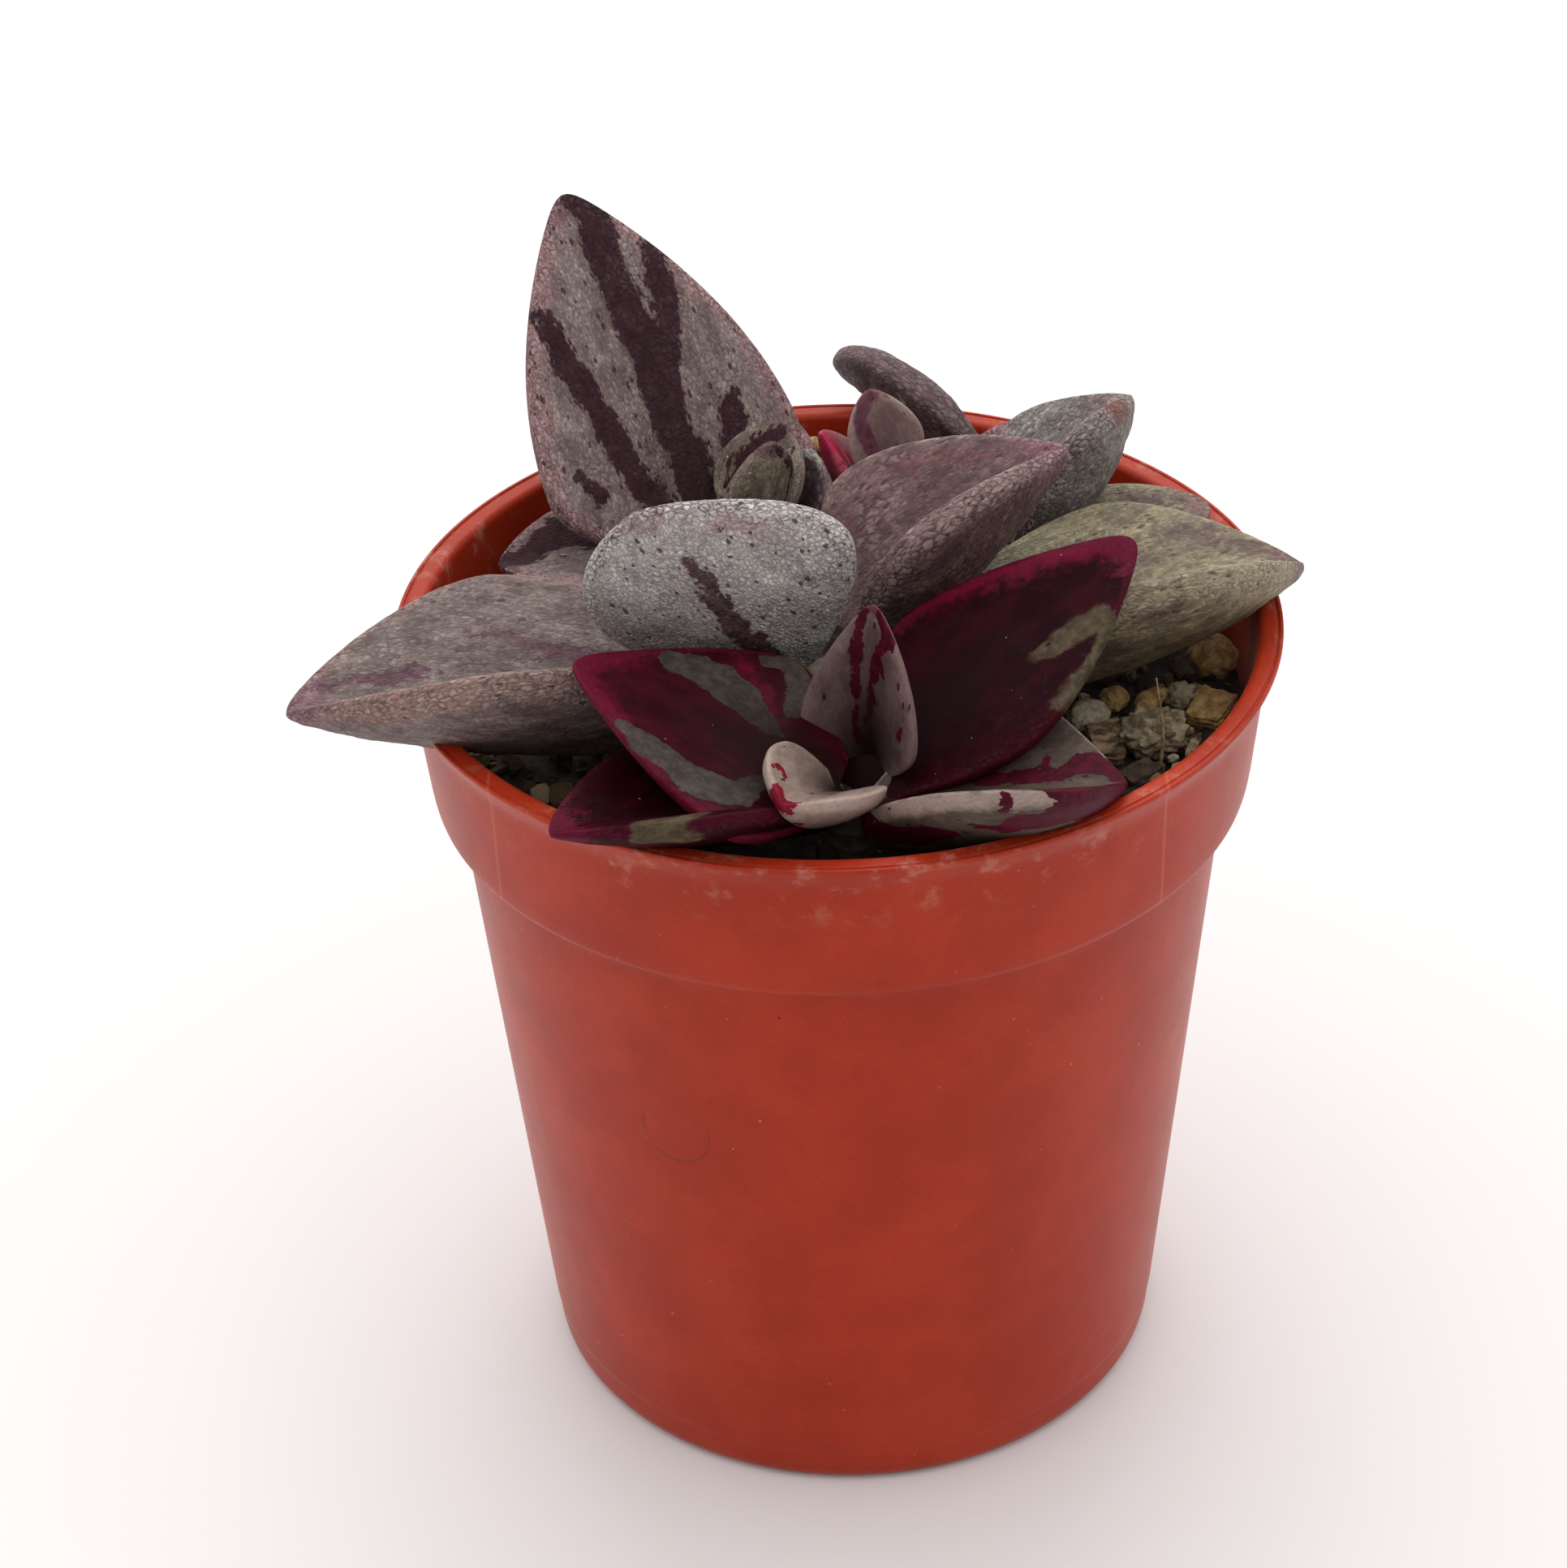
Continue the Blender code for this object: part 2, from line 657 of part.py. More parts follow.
def grown(obj, collection):
    """A copy of an object, grown by the clearance along its normals, that only cuts."""
    copy = bpy.data.objects.new(f"room_for_{obj.name}", obj.data.copy())
    shape = bmesh.new()
    shape.from_mesh(copy.data)
    shape.normal_update()
    for vertex in shape.verts:
        vertex.co += vertex.normal * (CLEARANCE * 1.1 * MM)
    shape.to_mesh(copy.data)
    shape.free()
    copy.matrix_world = obj.matrix_world
    collection.objects.link(copy)
    return as_cutter(copy)


def keep_largest(mesh):
    """Drops the scraps that a cut leaves beside a mesh's largest body, and evens its shading."""
    shape = bmesh.new()
    shape.from_mesh(mesh)
    bmesh.ops.remove_doubles(shape, verts=shape.verts, dist=0.002 * MM)
    left = set(shape.faces)
    bodies = []
    while left:
        body = {left.pop()}
        edge_of_body = list(body)
        while edge_of_body:
            face = edge_of_body.pop()
            for edge in face.edges:
                beside = {other for other in edge.link_faces if other in left}
                body |= beside
                left -= beside
                edge_of_body += beside
        bodies.append(body)
    bodies.sort(key=lambda body: sum(face.calc_area() for face in body))
    scraps = [face for body in bodies[:-1] for face in body]
    bmesh.ops.delete(shape, geom=scraps, context="FACES")
    bmesh.ops.delete(shape, geom=[vertex for vertex in shape.verts if not vertex.link_faces], context="VERTS")
    bmesh.ops.triangulate(shape, faces=shape.faces)
    shape.to_mesh(mesh)
    shape.free()


def make_room(leaf, cutters):
    """Cuts from a leaf the room that the pieces it presses on need."""
    own = surface_tree(leaf)
    near = [cutter for cutter in cutters if own.overlap(surface_tree(cutter))]
    if near:
        pressing = add_collection(f"pressing_on_{leaf.name}")
        for cutter in near:
            pressing.objects.link(cutter)
        boolean(leaf, "DIFFERENCE", pressing)
        as_mesh(leaf)
        bpy.data.collections.remove(pressing)
        keep_largest(leaf.data)
    leaf.data.shade_smooth()
    leaf.data.set_sharp_from_angle(angle=math.radians(50))


def lip_cutter(collection):
    """A ring round the pot's lip, with the clearance, that only cuts."""
    inner = LIP_INNER_RADIUS - CLEARANCE - 0.1
    outer = LIP_RADIUS + CLEARANCE
    top = POT_HEIGHT + CLEARANCE
    foot = SOIL_LEVEL - 3.0
    profile = [(inner - 0.7, foot), (inner, top - 0.3), (inner + 0.3, top)]
    profile += [(outer - 0.3, top), (outer, top - 0.3), (outer, foot), (inner - 0.7, foot)]
    return as_cutter(as_mesh(turned("room_for_lip", profile, POT_SIDES, collection)))


def main():
    """Builds the whole object."""
    clear_scene()
    parts = add_collection("potted_lenophyllum")
    drains = add_collection("drain_holes")
    rooms = add_collection("rooms")
    root = bpy.data.objects.new("stand_point", None)
    parts.objects.link(root)
    stem_look = material("stem", (0.16, 0.12, 0.07), 0.7)
    old_look = material("old_leaf", (0.16, 0.12, 0.115), 0.65)
    young_look = material("young_leaf", (0.13, 0.02, 0.035), 0.4)
    made = [build_pot(parts, drains)]
    made.append(build_soil(parts, [point for leaf in LEAVES for point in leaf_cloud(leaf)]))
    cutters = [lip_cutter(rooms)]
    for stem in STEMS:
        made.append(build_stem(stem, parts, stem_look))
        foot = SOIL_LEVEL - STEM_DEPTH
        room = f"room_for_{stem.name}"
        cutters.append(
            cylinder_cutter(room, stem.radius + CLEARANCE, foot, stem.top + CLEARANCE, stem, rooms)
        )
    for leaf in LEAVES:
        obj = build_leaf(leaf, parts, young_look if leaf.young else old_look)
        bpy.context.view_layer.update()
        room = grown(obj, rooms)
        bpy.context.view_layer.update()
        make_room(obj, cutters)
        cutters.append(room)
        made.append(obj)
    for obj in made:
        obj.parent = root


main()
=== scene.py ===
"""The looks of a small potted Lenophyllum: a plastic pot, gritty mix and thick, mottled leaves."""

import json
import logging
import math
import random
from dataclasses import dataclass, replace
from enum import Enum

import bmesh
import bpy
import numpy as np
from mathutils import Matrix, Vector, noise
from mathutils.bvhtree import BVHTree

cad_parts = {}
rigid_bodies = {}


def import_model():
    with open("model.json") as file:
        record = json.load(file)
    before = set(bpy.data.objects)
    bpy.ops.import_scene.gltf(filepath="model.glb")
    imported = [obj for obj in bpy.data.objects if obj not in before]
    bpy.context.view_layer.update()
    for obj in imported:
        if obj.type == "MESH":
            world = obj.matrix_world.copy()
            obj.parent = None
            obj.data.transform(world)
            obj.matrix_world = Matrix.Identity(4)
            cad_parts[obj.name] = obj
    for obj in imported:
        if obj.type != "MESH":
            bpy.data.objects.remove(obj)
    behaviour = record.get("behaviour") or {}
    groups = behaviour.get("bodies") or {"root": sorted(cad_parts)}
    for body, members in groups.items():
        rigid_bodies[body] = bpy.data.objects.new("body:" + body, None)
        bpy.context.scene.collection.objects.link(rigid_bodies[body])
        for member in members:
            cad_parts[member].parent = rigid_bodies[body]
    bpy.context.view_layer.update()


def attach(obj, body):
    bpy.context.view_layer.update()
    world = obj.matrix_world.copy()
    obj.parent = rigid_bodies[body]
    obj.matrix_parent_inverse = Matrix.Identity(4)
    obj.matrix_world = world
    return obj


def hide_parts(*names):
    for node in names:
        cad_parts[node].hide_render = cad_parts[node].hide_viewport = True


log = logging.getLogger("potted_lenophyllum")

MM = 0.001
ROOT = "root"

Colour = tuple[float, float, float]
Thing = bpy.types.Object
Mesh = bpy.types.Mesh
Look = bpy.types.Material
Tree = bpy.types.NodeTree
Node = bpy.types.Node
Socket = bpy.types.NodeSocket

# Sizes in millimetres that the pot's pieces share

POT_HEIGHT = 53.7
LIP_RADIUS = 27.5
LIP_FLARE = 1.9
LIP_FLARE_MIDDLE = (26.95, 1.1)
GROOVE_RADIUS = 27.17
GROOVE_DEPTH = 0.12
LIP_INNER_RADIUS = 26.0
COLLAR_TOP_RADIUS = 26.6
COLLAR_FOOT_RADIUS = 25.75
COLLAR_DEPTH = 10.3
BODY_TOP_RADIUS = 24.2
FOOT_RADIUS = 20.3
FOOT_ROUND = 1.4
WALL = 1.0
FLOOR = 1.1
SOIL_LEVEL = 48.6
STEM_DEPTH = 4.0


class Face(Enum):
    """The side of a leaf that a marking lies on."""

    UPPER = "upper"
    LOWER = "lower"
    BOTH = "both"


class Paint(Enum):
    """How a marking is painted."""

    STRIPE = "stripe"
    WASH = "wash"


# Object helpers


def deselect_all() -> None:
    """Leaves nothing selected."""
    for obj in bpy.context.view_layer.objects:
        obj.select_set(False)


def pick(obj: Thing) -> None:
    """Selects one object and makes it active.

    Args:
        obj: The object.
    """
    deselect_all()
    obj.select_set(True)
    bpy.context.view_layer.objects.active = obj


def settle(obj: Thing) -> None:
    """Moves an object's place, turn and scale into its mesh."""
    pick(obj)
    bpy.ops.object.transform_apply(location=True, rotation=True, scale=True)


def apply_modifiers(obj: Thing) -> None:
    """Applies every modifier of an object."""
    pick(obj)
    for modifier in list(obj.modifiers):
        bpy.ops.object.modifier_apply(modifier=modifier.name)


def turn_outward(obj: Thing) -> None:
    """Turns all faces of a closed object outward.

    Args:
        obj: The object.
    """
    pick(obj)
    bpy.ops.object.mode_set(mode="EDIT")
    bpy.ops.mesh.select_all(action="SELECT")
    bpy.ops.mesh.normals_make_consistent(inside=False)
    bpy.ops.object.mode_set(mode="OBJECT")


def smooth_shade(obj: Thing, angle: float) -> None:
    """Shades an object smooth, but for edges sharper than an angle in degrees."""
    pick(obj)
    bpy.ops.object.shade_smooth_by_angle(angle=math.radians(angle))


def finish_piece(obj: Thing, name: str, look: Look) -> None:
    """Names and dresses a finished piece, and lets it ride on the part.

    Args:
        obj: The piece.
        name: Its name.
        look: Its material.
    """
    obj.name = name
    obj.data.name = name
    obj.data.materials.clear()
    obj.data.materials.append(look)
    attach(obj, ROOT)
    log.info("made %s with %d faces", name, len(obj.data.polygons))


def keep(mesh: Mesh, name: str, values: np.ndarray) -> None:
    """Keeps a number or a vector for each point in a mesh, for its finish to read.

    Args:
        mesh: The mesh.
        name: Name under which they are kept.
        values: The numbers or the vectors.
    """
    kind, field = ("FLOAT_VECTOR", "vector") if values.ndim == 2 else ("FLOAT", "value")
    made = mesh.attributes.new(name, kind, "POINT")
    made.data.foreach_set(field, values.astype(np.float32).ravel())


def join(objects: list[Thing]) -> Thing:
    """Joins objects into the first of them.

    Args:
        objects: The objects.

    Returns:
        The one that they become.
    """
    deselect_all()
    for obj in objects:
        obj.select_set(True)
    bpy.context.view_layer.objects.active = objects[0]
    bpy.ops.object.join()
    return objects[0]


def extruded_rings(sides: int, rings: list[tuple[float, float]]) -> Thing:
    """A closed shell raised ring by ring from a disc by extruding and scaling its last face.

    Args:
        sides: Number of sides.
        rings: Radius and height of each ring in millimetres, the disc first.

    Returns:
        The shell's object.
    """
    deselect_all()
    radius, height = rings[0]
    bpy.ops.mesh.primitive_circle_add(
        vertices=sides, radius=radius * MM, fill_type="NGON", location=(0, 0, height * MM)
    )
    obj = bpy.context.object
    settle(obj)
    bpy.ops.object.mode_set(mode="EDIT")
    bpy.ops.mesh.select_all(action="SELECT")
    for next_radius, next_height in rings[1:]:
        bpy.ops.mesh.extrude_region_move(
            TRANSFORM_OT_translate={"value": (0, 0, (next_height - height) * MM)}
        )
        share = next_radius / radius
        bpy.ops.transform.resize(value=(share, share, 1), center_override=(0, 0, next_height * MM))
        radius, height = next_radius, next_height
    bpy.ops.object.mode_set(mode="OBJECT")
    turn_outward(obj)
    return obj


def rounded_path(corners: list[tuple[float, float, float]], steps: int) -> list[tuple[float, float]]:
    """Rounds the corners of a path.

    Args:
        corners: Radius, height and rounding of each corner, in millimetres.
        steps: Points on each rounding, less one.

    Returns:
        The radius and height of each point.
    """
    path = []
    for index, (radius, height, rounding) in enumerate(corners):
        here = Vector((radius, height))
        if rounding <= 0 or index in (0, len(corners) - 1):
            path.append((radius, height))
            continue
        before = Vector(corners[index - 1][:2]) - here
        after = Vector(corners[index + 1][:2]) - here
        reach_before = min(rounding, before.length * 0.45)
        reach_after = min(rounding, after.length * 0.45)
        start = here + before.normalized() * reach_before
        end = here + after.normalized() * reach_after
        for step in range(steps + 1):
            share = step / steps
            point = start * (1 - share) ** 2 + here * (2 * share * (1 - share)) + end * share**2
            path.append((point.x, point.y))
    return path


# Shader helpers


class Graph:
    """A shader node tree under construction."""

    def __init__(self, tree: Tree) -> None:
        """Takes the tree that the nodes go to."""
        self.tree = tree

    def add(self, kind: str, plugs: dict[str | int, object] | None = None, **settings: object) -> Node:
        """Adds a node.

        Args:
            kind: Its kind, without the word ShaderNode.
            plugs: A socket or a value for each of its inputs.
            settings: Values of its properties.

        Returns:
            The node.
        """
        made = self.tree.nodes.new("ShaderNode" + kind)
        for name, value in settings.items():
            setattr(made, name, value)
        for name, value in (plugs or {}).items():
            self.plug(made.inputs[name], value)
        return made

    def plug(self, socket: Socket, value: object) -> None:
        """Links a socket to another, or sets its value."""
        if isinstance(value, Socket):
            self.tree.links.new(value, socket)
        else:
            socket.default_value = (*value[:3], 1.0) if socket.type == "RGBA" else value

    def math(self, operation: str, *values: object, clamp: bool = False) -> Socket:
        """Result of a calculation on numbers.

        Args:
            operation: Name of the calculation.
            values: The numbers. What the first two give is taken on with the third, and so on.
            clamp: Whether each result is kept from 0 to 1.

        Returns:
            The result.
        """
        result = values[0]
        for value in values[1:] or (0.0,):
            made = self.add("Math", {0: result, 1: value}, operation=operation, use_clamp=clamp)
            result = made.outputs[0]
        return result

    def product(self, *values: object) -> Socket:
        """Product of numbers."""
        return self.math("MULTIPLY", *values)

    def total(self, *values: object) -> Socket:
        """Sum of numbers."""
        return self.math("ADD", *values)

    def stretch(self, vector: object, factors: tuple[float, float, float]) -> Socket:
        """A vector with each of its parts multiplied."""
        return self.add("VectorMath", {0: vector, 1: factors}, operation="MULTIPLY").outputs[0]

    def scale(self, vector: object, factor: object) -> Socket:
        """A vector multiplied by a number."""
        return self.add("VectorMath", {0: vector, "Scale": factor}, operation="SCALE").outputs[0]

    def place(self) -> Socket:
        """Place in the object, in millimetres."""
        return self.scale(self.add("TexCoord").outputs["Object"], 1 / MM)

    def smooth(self, value: object, low: object, high: object) -> Socket:
        """A smooth step from 0 at low to 1 at high."""
        plugs = {"Value": value, "From Min": low, "From Max": high}
        return self.add("MapRange", plugs, interpolation_type="SMOOTHSTEP").outputs[0]

    def fade(self, value: object, near: object, far: object) -> Socket:
        """A smooth step from 1 at near to 0 at far."""
        return self.math("SUBTRACT", 1.0, self.smooth(value, near, far))

    def remap(self, value: object, low: float, high: float) -> Socket:
        """A number from 0 to 1 spread over another range."""
        return self.add("MapRange", {"Value": value, "To Min": low, "To Max": high}).outputs[0]

    def mix(self, factor: object, first: object, second: object, blend: str = "MIX") -> Socket:
        """A mix of two colours."""
        plugs = {"Factor": factor, 6: first, 7: second}
        return self.add("Mix", plugs, data_type="RGBA", blend_type=blend).outputs[2]

    def vary(self, colour: object, number: object, low: float, high: float) -> Socket:
        """A colour multiplied by a number from 0 to 1 that is spread over another range."""
        return self.mix(1.0, colour, self.remap(number, low, high), "MULTIPLY")

    def noise(self, place: object, size: object, detail: float = 3.0, roughness: float = 0.55) -> Socket:
        """Cloudy noise from 0 to 1 whose patches measure about a size."""
        plugs = {"Vector": place, "Scale": self.math("DIVIDE", 1.0, size)}
        return self.add("TexNoise", plugs | {"Detail": detail, "Roughness": roughness}).outputs["Fac"]

    def patches(self, low: float, high: float, *noise_values: object) -> Socket:
        """Noise of the given values as patches, with a smooth step from low to high."""
        return self.smooth(self.noise(*noise_values), low, high)

    def attribute(self, name: str, output: str = "Fac") -> Socket:
        """A value that is kept in the mesh."""
        return self.add("Attribute", attribute_name=name).outputs[output]

    def use(self, group: Tree, **values: object) -> object:
        """Places a node group, with values for its inputs, and returns its outputs."""
        return self.add("Group", values, node_tree=group).outputs


def new_group(name: str, inputs: str, outputs: str) -> tuple[Graph, object, object]:
    """Starts a node group.

    Args:
        name: Its name.
        inputs: Names of its inputs. Place is a vector and all others are numbers.
        outputs: Names of its outputs, all of them numbers.

    Returns:
        The graph, the group's inputs and its outputs.
    """
    tree = bpy.data.node_groups.new(name, "ShaderNodeTree")
    for way, labels in (("INPUT", inputs), ("OUTPUT", outputs)):
        for label in labels.split():
            kind = "NodeSocketVector" if label == "Place" else "NodeSocketFloat"
            tree.interface.new_socket(name=label, in_out=way, socket_type=kind)
    return Graph(tree), tree.nodes.new("NodeGroupInput").outputs, tree.nodes.new("NodeGroupOutput").inputs


class Effects:
    """The node groups that several finishes share."""

    def __init__(self) -> None:
        """Builds each group once."""
        self.skin_cells = self.make_skin_cells()
        self.ragged_edge = self.make_ragged_edge()
        self.flecks = self.make_flecks()
        self.arc_mark = self.make_arc_mark()

    def make_skin_cells(self) -> Tree:
        """Small domed cells with cracks between them, as on an old succulent leaf.

        Returns:
            The group.
        """
        graph, given, result = new_group("skin cells", "Place Size Crack", "Cracks Tone Dome")
        scale = graph.math("DIVIDE", 0.9, given["Size"])
        shift = graph.add("TexNoise", {"Vector": given["Place"], "Scale": scale}).outputs["Color"]
        even = graph.scale(given["Place"], graph.math("DIVIDE", 1.0, given["Size"]))
        plugs = {0: shift, 1: (0.9, 0.9, 0.9), 2: even}
        moved = graph.add("VectorMath", plugs, operation="MULTIPLY_ADD").outputs[0]
        plugs = {"Vector": moved, "Scale": 1.0}
        edge = graph.add("TexVoronoi", plugs, feature="DISTANCE_TO_EDGE").outputs["Distance"]
        cell = graph.add("TexVoronoi", plugs, feature="F1").outputs["Color"]
        graph.plug(result["Cracks"], graph.fade(edge, 0.0, given["Crack"]))
        graph.plug(result["Tone"], graph.add("SeparateColor", {0: cell}).outputs[0])
        graph.plug(result["Dome"], graph.smooth(edge, 0.0, 0.35))
        return graph.tree

    def make_ragged_edge(self) -> Tree:
        """Turns a distance inside a marking into a mask with a ragged edge.

        Returns:
            The group.
        """
        graph, given, result = new_group("ragged edge", "Distance Place Reach Grain Softness", "Mask")
        wander = graph.math("SUBTRACT", graph.noise(given["Place"], given["Grain"], 4.0, 0.62), 0.5)
        moved = graph.total(given["Distance"], graph.product(wander, given["Reach"], 4.0))
        low = graph.product(given["Softness"], -1.0)
        graph.plug(result["Mask"], graph.smooth(moved, low, given["Softness"]))
        return graph.tree

    def make_flecks(self) -> Tree:
        """Scattered small flecks.

        Returns:
            The group.
        """
        graph, given, result = new_group("flecks", "Place Spacing Size Amount", "Mask")
        plugs = {"Vector": given["Place"], "Scale": graph.math("DIVIDE", 1.0, given["Spacing"])}
        spots = graph.add("TexVoronoi", plugs, feature="F1").outputs
        drawn = graph.add("SeparateColor", {0: spots["Color"]}).outputs
        size = graph.product(given["Size"], graph.remap(drawn[1], 0.4, 1.0))
        wobble = graph.noise(given["Place"], graph.product(given["Spacing"], 0.25), 2.0)
        reach = graph.product(size, graph.remap(wobble, 0.3, 1.7))
        mask = graph.fade(spots["Distance"], graph.product(reach, 0.7), reach)
        graph.plug(result["Mask"], graph.product(mask, graph.math("LESS_THAN", drawn[0], given["Amount"])))
        return graph.tree

    def make_arc_mark(self) -> Tree:
        """A hairline along part of an ellipse, on a flat place given by two numbers.

        Returns:
            The group.
        """
        graph, given, result = new_group("arc mark", "Across Up Width Height Highest Thickness", "Mask")
        right = graph.math("DIVIDE", given["Across"], given["Width"])
        up = graph.math("DIVIDE", given["Up"], given["Height"])
        radius = graph.math("SQRT", graph.total(graph.product(right, right), graph.product(up, up)))
        off = graph.math("ABSOLUTE", graph.math("SUBTRACT", radius, 1.0))
        line = graph.fade(graph.product(off, given["Width"]), 0.0, given["Thickness"])
        low = graph.math("LESS_THAN", given["Up"], given["Highest"])
        graph.plug(result["Mask"], graph.product(line, low))
        return graph.tree


def new_material(name: str, **inputs: object) -> tuple[Look, Graph, Node]:
    """Starts a material.

    Args:
        name: Its name.
        inputs: Values of its shader's inputs, with _ for the spaces in their names.

    Returns:
        The material, its graph and its shader node.
    """
    made = bpy.data.materials.new(name)
    made.use_nodes = True
    shader = made.node_tree.nodes["Principled BSDF"]
    graph = Graph(made.node_tree)
    for label, value in inputs.items():
        graph.plug(shader.inputs[label.replace("_", " ")], value)
    return made, graph, shader


def add_surface(graph: Graph, shader: Node, colour: Socket, height: Socket, depth: float) -> None:
    """Gives a material its colour and its relief.

    Args:
        graph: The material's graph.
        shader: Its shader node.
        colour: Its colour.
        height: Its relief, from 0 to 1.
        depth: What a height of 1 measures, in millimetres.
    """
    graph.plug(shader.inputs["Base Color"], colour)
    bump = graph.add("Bump", {"Strength": 1.0, "Distance": depth * MM, "Height": height})
    graph.plug(shader.inputs["Normal"], bump.outputs[0])


# Leaves

DUST_WHITE = (0.72, 0.66, 0.64)
# Painted shade: the near-black that darkens each leaf's channel towards its base, partly the leaf's own
# darker colour there.
HOLLOW_SHADE_BLACK = (0.012, 0.004, 0.005)


@dataclass(frozen=True)
class Skin:
    """The finish of a leaf.

    Attributes:
        name: Material name.
        slot: Material slot of the record.
        flesh: Its lighter colour.
        shade: Its darker colour.
        crack: Colour in the cracks between its cells.
        edge: Colour towards its margin.
        edge_reach: How far that colour reaches in, in millimetres.
        tip: Colour of its tip.
        tip_reach: How far that colour reaches back, in millimetres.
        mark: Colour of its stripes.
        mark_light: Lighter colour inside its stripes.
        mark_reach: How far a stripe's edge wanders, in millimetres.
        mark_softness: How soft that edge is, in millimetres.
        mark_grain: Size of that wandering, in millimetres.
        wash: Colour of its soft washes.
        cell: Size of its skin cells at the margin, in millimetres.
        grain: How uneven the tone of its small inner cells is.
        cracking: How dark the cracks are.
        whitening: How pale the cells are between the cracks.
        fleck: Colour of its flecks.
        flecks: Share of the places that hold a fleck.
        roughness: Its roughness.
        relief: Depth of its fine relief, in millimetres.
        gloss: Its specular level.
        hollow_shade: How dark painted shade makes its channel towards its base, over some of the leaf's own
            darker colour there.
        dust: Share of the places that hold a white speck.
        pale: Colour of its palest cells.
        crackled: How far its large cells show all over it.
    """

    name: str
    slot: str
    flesh: Colour
    shade: Colour
    crack: Colour
    edge: Colour
    edge_reach: float
    tip: Colour
    tip_reach: float
    mark: Colour
    mark_light: Colour
    mark_reach: float
    mark_softness: float
    mark_grain: float
    wash: Colour
    cell: float
    grain: float
    cracking: float
    whitening: float
    fleck: Colour
    flecks: float
    roughness: float
    relief: float
    gloss: float = 0.3
    hollow_shade: float = 0.4
    dust: float = 0.0
    pale: Colour = (0.52, 0.44, 0.41)
    crackled: float = 0.0

    def dress(self, effects: Effects) -> Look:
        """Builds the material.

        Args:
            effects: The shared node groups.

        Returns:
            The material.
        """
        made, graph, shader = new_material(self.name, Specular_IOR_Level=self.gloss)
        place = graph.attribute("leaf_place", "Vector")
        drawn_out = graph.stretch(place, (0.5, 1.0, 1.0))
        small = graph.use(effects.skin_cells, Place=drawn_out, Size=0.23, Crack=0.3)
        longish = graph.stretch(place, (0.8, 1.0, 1.0))
        large = graph.use(effects.skin_cells, Place=longish, Size=self.cell, Crack=0.13)
        colour = self.base_colour(graph, place, drawn_out)
        mask = self.stripe_mask(graph, effects, place, small["Tone"])
        stripe = graph.mix(graph.patches(0.38, 0.68, place, 0.8, 5.0, 0.7), self.mark, self.mark_light)
        colour = graph.mix(mask, colour, stripe)
        from_edge = graph.total(graph.attribute("margin"), graph.remap(graph.noise(place, 1.2), -0.8, 0.8))
        patchy = graph.product(graph.patches(0.44, 0.66, place, 3.2, 3.0, 0.6), 0.6)
        strong = graph.math("MAXIMUM", patchy, self.crackled, graph.fade(from_edge, 0.3, 2.0))
        bare = graph.math("SUBTRACT", 1.0, graph.product(mask, 0.7))
        colour = graph.vary(colour, small["Tone"], 1.0 - self.grain, 1.0 + self.grain)
        broken = graph.patches(0.36, 0.6, drawn_out, 0.8, 3.0, 0.6)
        spots = graph.use(effects.flecks, Place=drawn_out, Spacing=0.5, Size=0.36, Amount=self.flecks)["Mask"]
        specks = graph.use(effects.flecks, Place=place, Spacing=0.75, Size=0.1, Amount=self.dust)["Mask"]
        # Painted shade deep in the channel towards the base, over some of the leaf's own darker colour there.
        depth = graph.smooth(graph.attribute("hollow_shade"), 0.1, 0.8)
        for factors, layer in (
            ((small["Cracks"], bare, 0.55 * self.cracking), self.crack),
            ((large["Dome"], graph.remap(large["Tone"], 0.15, 1.0), strong, bare, self.whitening), self.pale),
            ((large["Cracks"], strong, bare, broken, self.cracking), self.crack),
            ((spots, 0.85), self.fleck),
            ((specks, 0.8), DUST_WHITE),
            ((depth, self.hollow_shade), HOLLOW_SHADE_BLACK),
        ):
            colour = graph.mix(graph.product(*factors), colour, layer)
        rough = graph.remap(graph.noise(place, 0.8), self.roughness - 0.08, self.roughness + 0.08)
        graph.plug(shader.inputs["Roughness"], rough)
        height = graph.total(
            graph.product(large["Dome"], graph.total(0.1, strong), self.cracking),
            graph.product(small["Dome"], 0.35 * self.cracking + 0.05),
            graph.product(graph.noise(drawn_out, 0.9, 3.0), 1.4),
        )
        add_surface(graph, shader, colour, height, self.relief)
        return made

    def base_colour(self, graph: Graph, place: Socket, drawn_out: Socket) -> Socket:
        """Colour of the skin without its stripes: mottled, washed and tinted at the margin and tip.

        Args:
            graph: The material's graph.
            place: Place on the leaf, in millimetres.
            drawn_out: The same, drawn out along the leaf.

        Returns:
            The colour.
        """
        colour = graph.mix(graph.patches(0.38, 0.64, drawn_out, 1.5, 4.0, 0.62), self.shade, self.flesh)
        haze = graph.remap(graph.noise(place, 0.9, 5.0, 0.7), -1.6, 1.6)
        wash = graph.smooth(graph.total(graph.attribute("wash"), haze), -0.7, 0.9)
        colour = graph.mix(graph.product(wash, 0.8), colour, self.wash)
        for name, tint, reach, grain, roughness, wander, near in (
            ("margin", self.edge, self.edge_reach, 1.3, 0.65, 0.9, 0.1),
            ("tip", self.tip, self.tip_reach, 0.8, 0.7, 1.2, 0.4),
        ):
            uneven = graph.remap(graph.noise(place, grain, 4.0, roughness), -wander * reach, wander * reach)
            seeping = graph.fade(graph.total(graph.attribute(name), uneven), near * reach, reach)
            colour = graph.mix(graph.product(seeping, 0.85), colour, tint)
        return colour

